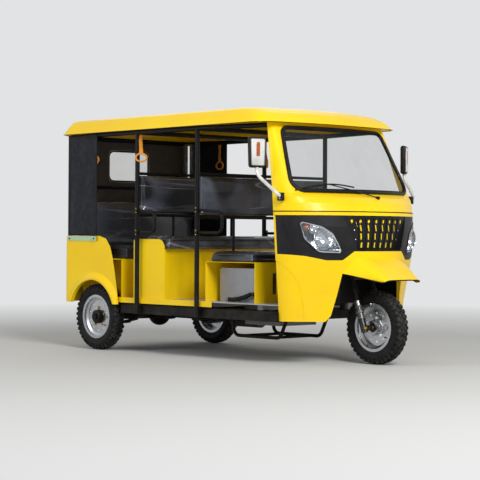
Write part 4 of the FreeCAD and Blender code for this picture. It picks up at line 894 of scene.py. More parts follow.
def swell(pad, given):
    start = [corner.co.copy() for corner in pad.data.vertices]
    limit = Vector(given["low"])[given["axis"]] + given["voxel"] * padWork["heldMargin"]
    held = [v.index for v in pad.data.vertices if v.co[given["axis"]] < limit]
    pad.vertex_groups.new(name="held").add(held, 1.0, "REPLACE")
    cloth = pad.modifiers.new("cloth", "CLOTH")
    cloth.settings.use_pressure = True
    cloth.settings.uniform_pressure_force = given["pressure"]
    cloth.settings.vertex_group_mass = "held"
    cloth.settings.effector_weights.gravity = 0
    cloth.settings.quality = padWork["quality"]
    cloth.point_cache.frame_end = padWork["frames"]
    for step in range(1, padWork["frames"] + 1):
        bpy.context.scene.frame_set(step)
    swollen = pad.evaluated_get(bpy.context.evaluated_depsgraph_get()).to_mesh()
    ended = [corner.co.copy() for corner in swollen.vertices]
    pad.to_mesh_clear()
    pad.modifiers.clear()
    pad.vertex_groups.clear()
    bpy.context.scene.frame_set(1)
    for corner, begin, end in zip(pad.data.vertices, start, ended):
        move = end - begin
        if move.length > given["cap"]:
            move *= given["cap"] / move.length
        corner.co = begin + move


def crumple(pad, given):  # long shallow folds along the seat, and small puckers near the ends
    pad.data.update()
    half = (given["high"][1] - given["low"][1]) / 2
    outward = [corner.normal.copy() for corner in pad.data.vertices]
    for corner, away in zip(pad.data.vertices, outward):
        spot = corner.co
        near = abs(spot.y) / half
        long = noise.noise(Vector((spot.x * 16, spot.y * 2.2, spot.z * 16)))
        fine = noise.noise(Vector((spot.x * 30, spot.y * 9, spot.z * 30)))
        ridge = 1 - abs(noise.noise(Vector((spot.x * 9 + spot.y * 4, spot.y * 3.5, spot.z * 9))))
        depth = given["folds"] * (long * 0.9 + fine * (0.08 + 0.4 * near ** 3) + (ridge - 0.75) * 0.9)
        corner.co += away * depth


def seamCord(name, pad, given, height):  # piping round the top edge, snapped to the swollen cover
    tree = treeOf(pad.data)
    low, high = Vector(given["low"]), Vector(given["high"])
    inset, proud = padWork["pipeCorner"], padWork["pipeProud"]
    long, short = padWork["pipeSteps"]
    sides = [
        (long, (high.x, low.y + inset), (high.x, high.y - inset)),
        (short, (high.x - inset, high.y), (low.x + inset, high.y)),
        (long, (low.x, high.y - inset), (low.x, low.y + inset)),
        (short, (low.x + inset, low.y), (high.x - inset, low.y)),
    ]
    route = []
    for count, (fromX, fromY), (toX, toY) in sides:
        for step in range(count):
            share = step / count
            spot = Vector((fromX + (toX - fromX) * share, fromY + (toY - fromY) * share, height))
            centre = Vector(((low.x + high.x) / 2, spot.y * 0.9, height))
            away = (spot - centre).normalized()
            found = tree.ray_cast(spot + away * 0.05, -away)[0]
            route.append((found or spot) + away * proud)
    shape = bmesh.new()
    tubeAlong(shape, route, padWork["pipeRadius"], cyclic=True, sides=1)
    finished(name, shape, "seal")


def makePad(name, given):
    shape = bmesh.new()
    slab(shape, given["low"], given["high"], given["edge"], 3)
    if "lean" in given:
        lean = given["lean"]
        for cut in (lean["from"], (lean["from"] + lean["to"]) / 2):
            bmesh.ops.bisect_plane(shape, geom=allOf(shape), plane_co=(0, 0, cut), plane_no=(0, 0, 1))
        for corner in shape.verts:
            if corner.co.x > (given["low"][0] + given["high"][0]) / 2:
                share = max(0, (corner.co.z - lean["from"]) / (lean["to"] - lean["from"]))
                corner.co.x += lean["low"] + (lean["high"] - lean["low"]) * share
    pad = finished(name, shape, given["finish"])
    remesh = pad.modifiers.new("remesh", "REMESH")
    remesh.mode = "VOXEL"
    remesh.voxel_size = given["voxel"]
    remeshed = bpy.data.meshes.new_from_object(pad.evaluated_get(bpy.context.evaluated_depsgraph_get()))
    old = pad.data
    pad.modifiers.clear()
    pad.data = remeshed
    bpy.data.meshes.remove(old)
    pad.data.name = name
    swell(pad, given)
    crumple(pad, given)
    pad.data.polygons.foreach_set("use_smooth", [True] * len(pad.data.polygons))
    finer = pad.modifiers.new("finer", "SUBSURF")
    finer.levels = finer.render_levels = 1
    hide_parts(given["node"])
    for height in given["seams"]:
        seamCord(name + "_piping", pad, given, height)


for padName, given in pads.items():
    makePad(padName, given)
print("cushions and backrests made")


# side curtains that hang from the rail, and the rear wall with its window opening

curtains = {
    "thick": 0.0016, "low": 0.8790, "high": 1.6680,
    "front": (-1.0365, 0.6742), "rear": (-1.4515, 0.6258), "bulge": 0.0055, "seeds": {-1: 0.3, 1: 0.7},
    "rearPlane": -1.4925, "rearHalf": 0.609, "rearLow": 0.8845, "rearBulge": 0.0048, "rearSeed": 0.15,
    "window": {"half": 0.200, "low": 1.328, "high": 1.562, "corner": 0.045, "inside": 0.016,
               "rimOut": 0.004, "rimRadius": 0.007},
}


def curtainPoint(along, up, side, out=0.0):  # along from the front edge, up from the foot
    frontX, frontY = curtains["front"]
    rearX, rearY = curtains["rear"]
    y = frontY + (rearY - frontY) * along + out
    return Vector((frontX + (rearX - frontX) * along, side * y,
                   curtains["low"] + (curtains["high"] - curtains["low"]) * up))


def foldDepth(along, up, seed):  # 0 at the fastened edges, soft diagonal folds between
    rim = min(1, along * 7, (1 - along) * 7, (1 - up) * 10)
    diagonal = sin((along * 1.9 + up * 1.3 + seed) * 2 * pi) * 0.5 + 0.5
    soft = noise.noise(Vector((along * 2.6 + seed, up * 3.4, seed))) * 0.5 + 0.5
    return max(0, rim) * (0.55 * diagonal + 0.45 * soft)


def sideCurtain(name, side):
    frontX, frontY = curtains["front"]
    rearX, rearY = curtains["rear"]
    shape = bmesh.new()
    bmesh.ops.create_grid(shape, x_segments=36, y_segments=60, size=0.5)
    outward = Vector((frontY - rearY, frontX - rearX, 0)).normalized()
    for corner in shape.verts:
        along, up = corner.co.x + 0.5, corner.co.y + 0.5
        depth = foldDepth(along, up, curtains["seeds"][side])
        spot = curtainPoint(along, up, 1) + outward * curtains["bulge"] * depth
        corner.co = Vector((spot.x, side * spot.y, spot.z))
    sheet = finished(name, shape, "curtain", sharp=80)
    thickened(sheet, curtains["thick"])
    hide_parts("side_curtains")


def windowSpan():  # middle and half of the window opening's height
    window = curtains["window"]
    return (window["low"] + window["high"]) / 2, (window["high"] - window["low"]) / 2


def windowLine(out):  # round the opening, with a quarter of a circle at each corner
    window = curtains["window"]
    middleZ, halfZ = windowSpan()
    line = []
    for sideY, sideZ, first in ((1, 1, 0), (-1, 1, 90), (-1, -1, 180), (1, -1, 270)):
        for step in range(7):
            turn = radians(first + step * 15)
            y = sideY * (window["half"] - window["corner"]) + (window["corner"] + out) * cos(turn)
            z = middleZ + sideZ * (halfZ - window["corner"]) + (window["corner"] + out) * sin(turn)
            line.append(Vector((curtains["rearPlane"], y, z)))
    return line


def toSheetEdge(corner):  # pushes a corner of the opening out to the sheet's rectangle
    window = curtains["window"]
    low, high = curtains["rearLow"], curtains["high"]
    middleZ, halfZ = windowSpan()
    y = max(-1, min(1, corner.co.y / (window["half"] - window["inside"])))
    z = max(-1, min(1, (corner.co.z - middleZ) / (halfZ - window["inside"])))
    corner.co.y = y * curtains["rearHalf"]
    if abs(z) == 1:
        corner.co.z = high if z > 0 else low
    else:
        corner.co.z = middleZ + z * (high - middleZ if z > 0 else middleZ - low)


def rearSheet():
    window = curtains["window"]
    low, high, half = curtains["rearLow"], curtains["high"], curtains["rearHalf"]
    middleZ, halfZ = windowSpan()
    shape = bmesh.new()
    ring = [shape.verts.new(spot) for spot in windowLine(0)]
    inner = [shape.edges.new((ring[i - 1], ring[i])) for i in range(len(ring))]
    copy = bmesh.ops.duplicate(shape, geom=ring + inner)["geom"]
    outer = [g for g in copy if isinstance(g, bmesh.types.BMEdge)]
    for corner in vertsOf(copy):
        toSheetEdge(corner)
    bmesh.ops.bridge_loops(shape, edges=inner + outer)
    spokes = [e for e in shape.edges if e not in inner and e not in outer]
    bmesh.ops.subdivide_edges(shape, edges=spokes, cuts=14, use_grid_fill=True)
    bmesh.ops.subdivide_edges(shape, edges=list(shape.edges), cuts=1, use_grid_fill=True)
    for corner in shape.verts:
        along = (corner.co.y + half) / (2 * half)
        up = (corner.co.z - low) / (high - low)
        gap = max(abs(corner.co.y) - window["half"], abs(corner.co.z - middleZ) - halfZ)
        calm = min(1, max(0, gap) * 12)
        corner.co.x -= curtains["rearBulge"] * calm * foldDepth(along, up, curtains["rearSeed"])
    sheet = finished("rear_wall_sheet", shape, "rearWall", sharp=80)
    thickened(sheet, curtains["thick"])
    hole = 4 * window["half"] * halfZ
    2 * half * (high - low) - hole
    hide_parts("rear_curtain")
    rim = bmesh.new()
    tubeAlong(rim, windowLine(window["rimOut"]), window["rimRadius"], cyclic=True, smooth=False)
    finished("rear_window_rim", rim, "seal")


sideCurtain("right_curtain", -1)
sideCurtain("left_curtain", 1)
rearSheet()


# strips, fasteners and hems of the side curtains

curtainTrim = {
    "stripDown": 0.040, "stripHeight": 0.036, "stripThick": 0.003, "stripAlong": (0.015, 0.93),
    "stripOut": 0.0045, "headsAlong": (0.09, 0.87), "headOut": 0.0055, "head": (0.0065, 0.004),
    "buttonsUp": (0.12, 0.42, 0.72, 0.97), "buttonAlong": 0.035, "buttonOut": 0.0012, "button": (0.0055, 0.003),
    "hemsAlong": (0.004, 0.996), "hemRadius": 0.0022, "hemSteps": 12,
}


def besideBody(along, side, height, out):  # a point just off the rear body's own side
    spot = curtainPoint(along, 0, side)
    try:
        skin = hit("rear_body", (spot.x, side * 1.2, height), (0, -side, 0))[0].y
    except ValueError:
        skin = spot.y
    return Vector((spot.x, side * (max(side * skin, side * spot.y) + out), height))


def curtainStrip(name, side):  # stiff strip that holds the curtain's foot against the body
    given = curtainTrim
    foot, high = curtains["low"] - given["stripDown"], given["stripHeight"]
    start, end = given["stripAlong"]
    shape = bmesh.new()
    bmesh.ops.create_grid(shape, x_segments=14, y_segments=2, size=0.5)
    for corner in shape.verts:
        along = start + (end - start) * (corner.co.x + 0.5)
        corner.co = besideBody(along, side, foot + high * (corner.co.y + 0.5), given["stripOut"])
    bmesh.ops.recalc_face_normals(shape, faces=shape.faces)
    bmesh.ops.solidify(shape, geom=list(shape.faces), thickness=given["stripThick"])
    finished(name, shape, "paleStrip", sharp=40)
    heads = bmesh.new()
    for along in given["headsAlong"]:
        spot = besideBody(along, side, foot + high / 2, given["headOut"])
        fastener(heads, spot, (0, side, 0), *given["head"])
    for up in given["buttonsUp"]:
        spot = curtainPoint(given["buttonAlong"], up, side, given["buttonOut"])
        fastener(heads, spot, (0, side, 0), *given["button"])
    finished(name + "_fasteners", heads, "seal")
    hem = bmesh.new()
    steps = given["hemSteps"]
    for along in given["hemsAlong"]:
        line = [curtainPoint(along, up / steps, side) for up in range(steps + 1)]
        tubeAlong(hem, line, given["hemRadius"], smooth=False, sides=1)
    finished(name + "_hem", hem, "curtain")


curtainStrip("right_curtain_strip", -1)
curtainStrip("left_curtain_strip", 1)


# clear side curtains, gathered and tied in the rear corners

clearCurtain = {
    "middle": (-1.395, 0.565), "high": 1.650, "low": 1.02, "waves": 5, "deep": 0.018, "wide": 0.095,
    # how far the tie draws it in, how high it sits, and how short it is
    "tie": (0.45, 0.38, 6),
    # shares of the width and of the waves that go forward and outward
    "acrossTo": (0.92, 0.25), "waveTo": (0.4, -0.9),
}


def gatheredCurtain(name, side):
    given = clearCurtain
    drawn, tieHeight, tieShort = given["tie"]
    shape = bmesh.new()
    bmesh.ops.create_grid(shape, x_segments=60, y_segments=24, size=0.5)
    for corner in shape.verts:
        along, up = corner.co.x + 0.5, corner.co.y + 0.5
        tie = 1 - drawn * max(0, 1 - abs(up - tieHeight) * tieShort)
        uneven = 0.8 + 0.3 * sin(along * 9)
        wave = sin(along * given["waves"] * 2 * pi + up * 0.8) * given["deep"] * tie * uneven
        across = (along - 0.5) * given["wide"] * tie
        x = given["middle"][0] + across * given["acrossTo"][0] + wave * given["waveTo"][0]
        y = given["middle"][1] + across * given["acrossTo"][1] + wave * given["waveTo"][1]
        corner.co = Vector((x, side * y, given["low"] + (given["high"] - given["low"]) * up))
    area = sum(face.calc_area() for face in shape.faces)
    sheet = finished(name, shape, "clearSheet", sharp=80)
    long = given["high"] - given["low"]
    area / long


gatheredCurtain("left_clear_curtain", 1)
gatheredCurtain("right_clear_curtain", -1)
print("curtains made")


# headlamps: reflector bowls and bulbs behind the lenses

lampBowl = [(-0.062, 0.012), (-0.058, 0.024), (-0.050, 0.040), (-0.036, 0.057), (-0.018, 0.070),
            (-0.002, 0.0775), (0.000, 0.0800), (-0.003, 0.0805)]
lampPieces = {  # facets: how many a faceted bowl has, or 0 for a round piece
    "lamp_reflector": {"profile": lampBowl, "scale": 1.0, "middle": (0.438, 0.868), "behind": 0.020,
                       "facets": 28, "finish": "reflector", "slot": "headlamp_shell"},
    "lamp_bulb": {"profile": [(-0.062, 0.0115), (-0.030, 0.0110), (-0.024, 0.0085), (-0.020, 0.0)],
                  "scale": 1.0, "middle": (0.438, 0.868), "behind": 0.020,
                  "facets": 0, "finish": "bulb", "slot": "clear_lens"},
    "position_reflector": {"profile": lampBowl, "scale": 0.46, "middle": (0.500, 0.935), "behind": 0.022,
                           "facets": 14, "finish": "reflector", "slot": "headlamp_shell"},
}


def lampPiece(name, side, given):
    y, z = given["middle"]
    spot = hit("headlamp_lenses", (2, side * y, z), (-1, 0, 0))[0]
    scale, facets = given["scale"], given["facets"]
    shape = bmesh.new()
    spunProfile(shape, [(out * scale, radius * scale) for out, radius in given["profile"]], facets or 32)
    placed(shape, spot - Vector((given["behind"], 0, 0)), facing((1, 0.06 * side, 0)))
    finished(name, shape, given["finish"], sharp=20 if facets else 40)


for side, word in ((-1, "right"), (1, "left")):
    for lampName, given in lampPieces.items():
        lampPiece(word + "_" + lampName, side, given)


# sealing strip in the groove under the windscreen, cut from the cab's own skin

belt = {"low": 1.0492, "high": 1.0552, "groove": 0.0025, "proud": 0.0022, "thick": 0.004, "middleX": 0.85}


def beltStrip():
    shape = skinOf("cab_front")
    for height, up in ((belt["low"], 1), (belt["high"], -1)):
        bmesh.ops.bisect_plane(shape, geom=allOf(shape), plane_co=(0, 0, height), plane_no=(0, 0, -up),
                               clear_outer=True)
    kept = set()
    for face in shape.faces:
        middle = face.calc_center_median()
        away = Vector((middle.x - belt["middleX"], middle.y, 0)).normalized()
        if face.normal.dot(away) > 0.3 and abs(face.normal.z) < 0.8:
            kept.add(face)
    bmesh.ops.delete(shape, geom=[f for f in shape.faces if f not in kept], context="FACES")
    shape.normal_update()
    for corner in shape.verts:  # out of the groove, to stand a little proud
        corner.co += Vector((corner.normal.x, corner.normal.y, 0)) * (belt["groove"] + belt["proud"])
    bmesh.ops.solidify(shape, geom=list(shape.faces), thickness=belt["thick"])
    finished("belt_seal", shape, "seal")


beltStrip()


# beak over the front wheel: one soft-shouldered sheet with a black lip

beak = {
    # distance ahead, half width and height of the top, half width and height of the edge
    "stations": [(1.198, 0.236, 0.800, 0.318, 0.636), (1.313, 0.216, 0.742, 0.276, 0.620),
                 (1.413, 0.192, 0.672, 0.226, 0.598), (1.513, 0.160, 0.590, 0.176, 0.574)],
    "noseMiddle": 0.100, "noseRadius": 0.300, "noseEnd": 1.511, "cornerCut": 0.034,
    # share of the way out that the shoulder takes, where it leaves the top, and where it meets the flank
    "shoulder": 0.42, "topShare": 0.50, "flankShare": 0.45,
    "steps": 32, "across": 44, "thick": 0.004, "lip": 0.0042, "lipSteps": 24, "lipFrom": 7, "lipAcross": 20,
}


def beakStation(along):  # straight between the stations
    rows = beak["stations"]
    spot = min(along * (len(rows) - 1), len(rows) - 1 - 1e-6)
    first = int(spot)
    share = spot - first
    return [a + (b - a) * share for a, b in zip(rows[first], rows[first + 1])]


def beakPoint(along, turn):  # turn runs from -1 at the right edge to 1 at the left
    topHalf, topZ, lowHalf, lowZ = beakStation(along)[1:]
    side = 1 if turn >= 0 else -1
    far = abs(turn)
    bend = beak["shoulder"]
    flank = beak["flankShare"]
    flankEnd = Vector((topHalf + (lowHalf - topHalf) * flank, topZ + (lowZ - topZ) * flank))
    topEnd = Vector((topHalf * beak["topShare"], topZ))
    corner = Vector((topHalf, topZ))
    edge = Vector((lowHalf, lowZ))
    if far < 1 - 2 * bend:
        spot = Vector((0, topZ)).lerp(topEnd, far / (1 - 2 * bend))
    elif far < 1 - bend:
        share = (far - 1 + 2 * bend) / bend
        spot = topEnd.lerp(corner, share).lerp(corner.lerp(flankEnd, share), share)
    else:
        spot = flankEnd.lerp(edge, (far - 1 + bend) / bend)
    y = side * spot.x
    wide = max(0, abs(y) - beak["noseMiddle"])
    nose = beak["noseEnd"] - beak["noseRadius"] + (beak["noseRadius"] ** 2 - wide ** 2) ** 0.5
    start = beak["stations"][0][0]
    nose -= beak["cornerCut"] * far ** 8
    return Vector((start + along * (nose - start), y, spot.y))


def skinAhead(spot):  # how far ahead the cab's own skin lies at a point's height and width
    best = None
    for node in ("cab_front", "front_mask", "grille"):
        try:
            x = hit(node, (2, spot.y, spot.z), (-1, 0, 0))[0].x
        except ValueError:
            continue
        best = x if best is None else max(best, x)
    return best


def makeBeak():
    shape = bmesh.new()
    bmesh.ops.create_grid(shape, x_segments=beak["steps"], y_segments=beak["across"], size=0.5)
    for corner in shape.verts:
        corner.co = beakPoint(corner.co.x + 0.5, corner.co.y * 2)
    inside = set()
    for corner in shape.verts:
        skin = skinAhead(corner.co)
        if skin is not None and corner.co.x < skin - 0.001:
            inside.add(corner)
    hidden = [f for f in shape.faces if all(v in inside for v in f.verts)]
    bmesh.ops.delete(shape, geom=hidden, context="FACES")
    bmesh.ops.delete(shape, geom=[v for v in shape.verts if not v.link_faces], context="VERTS")
    bmesh.ops.recalc_face_normals(shape, faces=shape.faces)
    if sum(f.normal.z for f in shape.faces) < 0:
        bmesh.ops.reverse_faces(shape, faces=shape.faces)
    bmesh.ops.solidify(shape, geom=list(shape.faces), thickness=beak["thick"])
    piece = finished("smooth_beak", shape, "yellow", sharp=50)
    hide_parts("beak")
    along = [step / beak["lipSteps"] for step in range(beak["lipFrom"], beak["lipSteps"])]
    wide = beak["lipAcross"]
    line = [beakPoint(share, -1) for share in along]
    line += [beakPoint(1, turn / wide) for turn in range(-wide, wide + 1)]
    line += [beakPoint(share, 1) for share in reversed(along)]
    lip = bmesh.new()
    tubeAlong(lip, [spot - Vector((0, 0, beak["lip"])) for spot in line], beak["lip"], smooth=False, sides=1)
    finished("beak_lip", lip, "seal", sharp=60)


makeBeak()


# grille screws, and clips on the left of the windscreen

cabTrim = {
    "screws": [(-0.222, 0.926), (-0.204, 0.862), (0.222, 0.926), (0.204, 0.862)], "screw": (0.0058, 0.0036),
    # clips: share of the windscreen's height, and how far out the search for the rubber starts
    "clipsUp": (0.06, 0.30, 0.93), "clip": (0.006, 0.0035), "clipSunk": 0.0005, "clipFrom": 0.650,
    "clipStep": 0.003, "clipInside": 0.006,
}


def sealFace(z):  # outermost point of the windscreen's rubber at a height, found from the left
    for reach in range(60):
        y = cabTrim["clipFrom"] - reach * cabTrim["clipStep"]
        try:
            return hit("windscreen_seal", (2, y - cabTrim["clipInside"], z), (-1, 0, 0))
        except ValueError:
            continue
    raise ValueError("no windscreen rubber at that height")


def cabFasteners():
    screws = bmesh.new()
    for y, z in cabTrim["screws"]:
        spot, normal = hit("grille", (2, y, z), (-1, 0, 0))
        fastener(screws, spot, normal, *cabTrim["screw"])
    finished("mask_screws", screws, "silver")
    clips = bmesh.new()
    low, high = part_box("windscreen_seal")
    for up in cabTrim["clipsUp"]:
        spot, normal = sealFace(low.z + (high.z - low.z) * up)
        fastener(clips, spot - normal * cabTrim["clipSunk"], normal, *cabTrim["clip"])
    finished("windscreen_clips", clips, "silver")


# yellow sheet behind the grille's slots, laid along the grille's own face

grilleSheet = {"low": 0.803, "high": 1.001, "halfLow": 0.166, "halfHigh": 0.262, "columns": 104, "rows": 40,
               "near": 3, "ribHigh": 0.008, "behind": 0.0022, "thick": 0.0006}


def grilleInlay():
    given = grilleSheet
    shape = bmesh.new()
    bmesh.ops.create_grid(shape, x_segments=given["columns"], y_segments=given["rows"], size=0.5)
    cells, found = {}, {}
    for corner in shape.verts:
        along, up = corner.co.x + 0.5, corner.co.y + 0.5
        half = given["halfLow"] + (given["halfHigh"] - given["halfLow"]) * up
        y, z = (2 * along - 1) * half, given["low"] + (given["high"] - given["low"]) * up
        cell = (round(along * given["columns"]), round(up * given["rows"]))
        cells[cell] = corner
        corner.co = Vector((0, y, z))
        try:
            found[cell] = hit("grille", (2, y, z), (-1, 0, 0))[0].x
        except ValueError:
            continue
    reach = range(-given["near"], given["near"] + 1)
    for (column, row), corner in cells.items():
        near = [(column + i, row + j) for i in reach for j in reach]
        close = sorted(found[cell] for cell in near if cell in found)
        close = [x for x in close if x > close[-1] - given["ribHigh"]]
        corner.co.x = close[len(close) // 4] - given["behind"]
    bmesh.ops.solidify(shape, geom=list(shape.faces), thickness=given["thick"])
    finished("grille_inlay", shape, "yellow", sharp=60)


grilleInlay()


# amber bulbs inside the lamps' outer corners

amberBulb = {
    "spot": (0.535, 0.9405), "behind": 0.009, "aimOut": 0.3,
    "profile": [(-0.028, 0.0), (-0.028, 0.020), (-0.010, 0.0215), (0.001, 0.0165), (0.006, 0.0075),
                (0.0075, 0.0)],
}

for side, word in ((-1, "right"), (1, "left")):
    shape = bmesh.new()
    spunProfile(shape, amberBulb["profile"], 20)
    y, z = amberBulb["spot"]
    spot = hit("front_indicators", (2, side * y, z), (-1, 0, 0))[0]
    placed(shape, spot - Vector((amberBulb["behind"], 0, 0)), facing((1, amberBulb["aimOut"] * side, 0)))
    finished(word + "_amber_bulb", shape, "amber")


# rubber bead round the windscreen's frame

bead = {"radius": 0.0105, "out": 0.005, "points": 96}


def lengthOf(line):
    return sum((b - a).length for a, b in zip(line, line[1:]))


def longestRim(node, facingX):  # the longest edge loop of a node's forward faces
    shape = skinOf(node)
    back = [f for f in shape.faces if f.normal.x < facingX]
    bmesh.ops.delete(shape, geom=back, context="FACES")
    left = {e for e in shape.edges if e.is_boundary}
    best = []
    while left:
        edge = left.pop()
        start, spot = edge.verts
        loop = [start.co.copy(), spot.co.copy()]
        while spot is not start:
            edge = next((e for e in spot.link_edges if e in left), None)
            if edge is None:
                break
            left.discard(edge)
            spot = edge.other_vert(spot)
            loop.append(spot.co.copy())
        best = max(best, loop, key=lengthOf)
    shape.free()
    return best


def evenly(loop, count):  # the same closed line with its points evenly spaced
    steps = [(b - a).length for a, b in zip(loop, loop[1:])]
    whole, line = sum(steps), []
    place, gone = 0, 0.0
    for step in range(count):
        wanted = whole * step / count
        while gone + steps[place] < wanted:
            gone += steps[place]
            place += 1
        line.append(loop[place].lerp(loop[place + 1], (wanted - gone) / steps[place]))
    return line


def screenBead():
    line = evenly(longestRim("windscreen_seal", 0.3), bead["points"])
    centre = sum(line, Vector()) / len(line)
    moved = [spot + (spot - centre).normalized() * bead["out"] for spot in line]
    shape = bmesh.new()
    tubeAlong(shape, moved, bead["radius"], cyclic=True, sides=3)
    finished("windscreen_bead", shape, "grease", sharp=60)


screenBead()


# mirrors: rounded shells with pale film in front and glass behind, on film-wrapped arms

mirror = {
    "spot": (0.842, 0.752, 1.4525), "turns": {-1: 20, 1: 33}, "deep": 0.021, "halfTop": 0.067, "halfLow": 0.060,
    "halfHigh": 0.106, "round": 0.019,
    # each front or back layer: inset from the shell's rim, depth into it, height over it, rounding
    "film": {"inset": 0.013, "into": 0.010, "over": 0.0035, "round": 0.012},
    "glass": {"inset": 0.010, "into": 0.004, "over": 0.001, "round": 0.0018},
    "amber": {"half": 0.014, "high": 0.048, "up": 0.020, "over": 0.0060, "round": 0.0025},
    "stalk": [(0.983, 0.660, 1.150), (0.992, 0.690, 1.162), (0.955, 0.712, 1.200), (0.900, 0.738, 1.252),
              (0.858, 0.750, 1.290), (0.844, 0.752, 1.322), (0.842, 0.752, 1.352)],
    "armRadius": 0.0125, "crease": 0.0013, "foot": (0.022, 0.016, 0.028), "footRound": 0.005,
    "bolt": (0.0062, 0.005), "boltsUp": (-0.014, 0.014),
}


def mirrorBlock(name, side, low, high, edge, finish):  # a rounded block set as the shell stands
    shape = bmesh.new()
    slab(shape, low, high, edge, 4)
    for corner in shape.verts:
        up = (corner.co.z + mirror["halfHigh"]) / (2 * mirror["halfHigh"])
        corner.co.y *= (mirror["halfLow"] + (mirror["halfTop"] - mirror["halfLow"]) * up) / mirror["halfTop"]
    x, y, z = mirror["spot"]
    placed(shape, (x, side * y, z), Matrix.Rotation(radians(side * mirror["turns"][side]), 3, "Z"))
    return finished(name, shape, finish, sharp=60)


def mirrorArm(name, side):
    shape = bmesh.new()
    tubeAlong(shape, [Vector((x, side * y, z)) for x, y, z in mirror["stalk"]], mirror["armRadius"], sides=3)
    bmesh.ops.subdivide_edges(shape, edges=list(shape.edges), cuts=1, use_grid_fill=True)
    shape.normal_update()
    away = [corner.normal.copy() for corner in shape.verts]
    for corner, outward in zip(shape.verts, away):  # the film's loose creases
        crease = noise.noise(corner.co * 60) + 0.6 * noise.noise(corner.co * 140)
        corner.co += outward * mirror["crease"] * crease
    finished(name, shape, "mirrorFilm")


def mirrorFoot(name, side):
    x, y, z = mirror["stalk"][0]
    deep, wide, tall = mirror["foot"]
    shape = bmesh.new()
    low, high = (x - deep, side * y - wide, z - tall), (x + deep, side * y + wide, z + tall)
    slab(shape, low, high, mirror["footRound"], 3)
    finished(name, shape, "plastic")
    bolts = bmesh.new()
    for lift in mirror["boltsUp"]:
        place = (x + deep * 0.4, side * (y + wide - 0.0005), z + lift)
        nutHead(bolts, place, (0, side, 0), *mirror["bolt"])
    finished(name + "_bolts", bolts, "silver")


deep, half, tall = mirror["deep"], mirror["halfTop"], mirror["halfHigh"]
film, glass, amber = mirror["film"], mirror["glass"], mirror["amber"]
for side, word in ((-1, "right"), (1, "left")):
    shell = mirrorBlock(word + "_mirror_shell", side, (-deep, -half, -tall), (deep, half, tall),
                        mirror["round"], "plastic")
    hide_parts("mirrors")
    inset = film["inset"]
    mirrorBlock(word + "_mirror_film", side, (deep - film["into"], inset - half, inset - tall),
                (deep + film["over"], half - inset, tall - inset), film["round"], "mirrorFilm")
    inset = glass["inset"]
    mirrorBlock(word + "_mirror_glass", side, (-deep - glass["over"], inset - half, inset - tall),
                (glass["into"] - deep, half - inset, tall - inset), glass["round"], "mirrorGlass")
    mirrorBlock(word + "_mirror_reflector", side, (deep, -amber["half"], amber["up"] - amber["high"]),
                (deep + amber["over"], amber["half"], amber["up"] + amber["high"]), amber["round"],
                "amber")
    mirrorArm(word + "_mirror_arm", side)
    mirrorFoot(word + "_mirror_foot", side)


# radiator core, between its frame's bars

radiatorCore = {"low": (0.1765, -0.4655, 0.4315), "high": (0.4415, -0.4535, 0.6265), "tubes": 20,
                "wide": 0.0034, "round": 0.0010, "foldHeight": 0.0042, "finInset": 0.002}


def makeCore():
    low, high = Vector(radiatorCore["low"]), Vector(radiatorCore["high"])
    tubes, half, inset = radiatorCore["tubes"], radiatorCore["wide"] / 2, radiatorCore["finInset"]
    pitch = (high.x - low.x) / tubes
    shape = bmesh.new()
    for step in range(tubes + 1):
        x = low.x + step * pitch
        slab(shape, (x - half, low.y, low.z), (x + half, high.y, high.z), radiatorCore["round"], 1)
    finished("radiator_tubes", shape, "coreMetal")
    fins = bmesh.new()
    folds = int((high.z - low.z) / radiatorCore["foldHeight"])
    for step in range(tubes):
        left = low.x + step * pitch + half
        right = left + pitch - 2 * half
        line = []
        for fold in range(folds + 1):
            z = low.z + (high.z - low.z) * fold / folds
            line.append(fins.verts.new((left if fold % 2 else right, low.y + inset, z)))
        edges = [fins.edges.new(pair) for pair in zip(line, line[1:])]
        made = bmesh.ops.extrude_edge_only(fins, edges=edges)["geom"]
        bmesh.ops.translate(fins, vec=(0, high.y - low.y - 2 * inset, 0), verts=vertsOf(made))
    finished("radiator_fins", fins, "coreMetal")


makeCore()


# hose clamps

hoseClamp = {
    "bands": [((0.505, -0.4860, 0.470), (0, 1, 0)), ((0.285, -0.4985, 0.4283), (1, 0, 0.02))],
    "half": 0.005, "inner": 0.0154, "outer": 0.0166,
}


def hoseClamps():
    half, inner, outer = hoseClamp["half"], hoseClamp["inner"], hoseClamp["outer"]
    shape = bmesh.new()
    for place, along in hoseClamp["bands"]:
        before = set(shape.verts)
        spunProfile(shape, [(-half, inner), (-half, outer), (half, outer), (half, inner)], 28, closed=True)
        placedNew(shape, before, place, facing(along))
    finished("hose_clamps", shape, "silver")


hoseClamps()


# grab handle plates with their brass screws

handle = {
    "pillars": (-0.566, 0.115), "out": 0.655, "heights": (1.068, 0.905), "half": 0.024,
    # the plate: behind and ahead of the pillar's middle, out from it, half thickness, rounding
    "back": 0.010, "ahead": 0.024, "plateOut": 0.0180, "plateHalf": 0.0024, "round": 0.0018,
    "screwAhead": 0.008, "screwOut": 0.0203, "screwsUp": (-0.014, 0.014), "screw": (0.0052, 0.004),
}


def handlePlates():
    plates, screws = bmesh.new(), bmesh.new()
    places = [(side, x, z) for side in (-1, 1) for x in handle["pillars"] for z in handle["heights"]]
    for side, x, z in places:
        y = side * (handle["out"] + handle["plateOut"])
        slab(plates, (x - handle["back"], y - handle["plateHalf"], z - handle["half"]),
             (x + handle["ahead"], y + handle["plateHalf"], z + handle["half"]), handle["round"])
        for lift in handle["screwsUp"]:
            place = (x + handle["screwAhead"], side * (handle["out"] + handle["screwOut"]), z + lift)
            fastener(screws, place, (0, side, 0), *handle["screw"])
    finished("handle_plates", plates, "black")
    finished("handle_screws", screws, "brass")


handlePlates()
cabFasteners()
print("cab trim made")


# hand straps: moulded oval grips on flat bands, the front pair in place of the CAD's

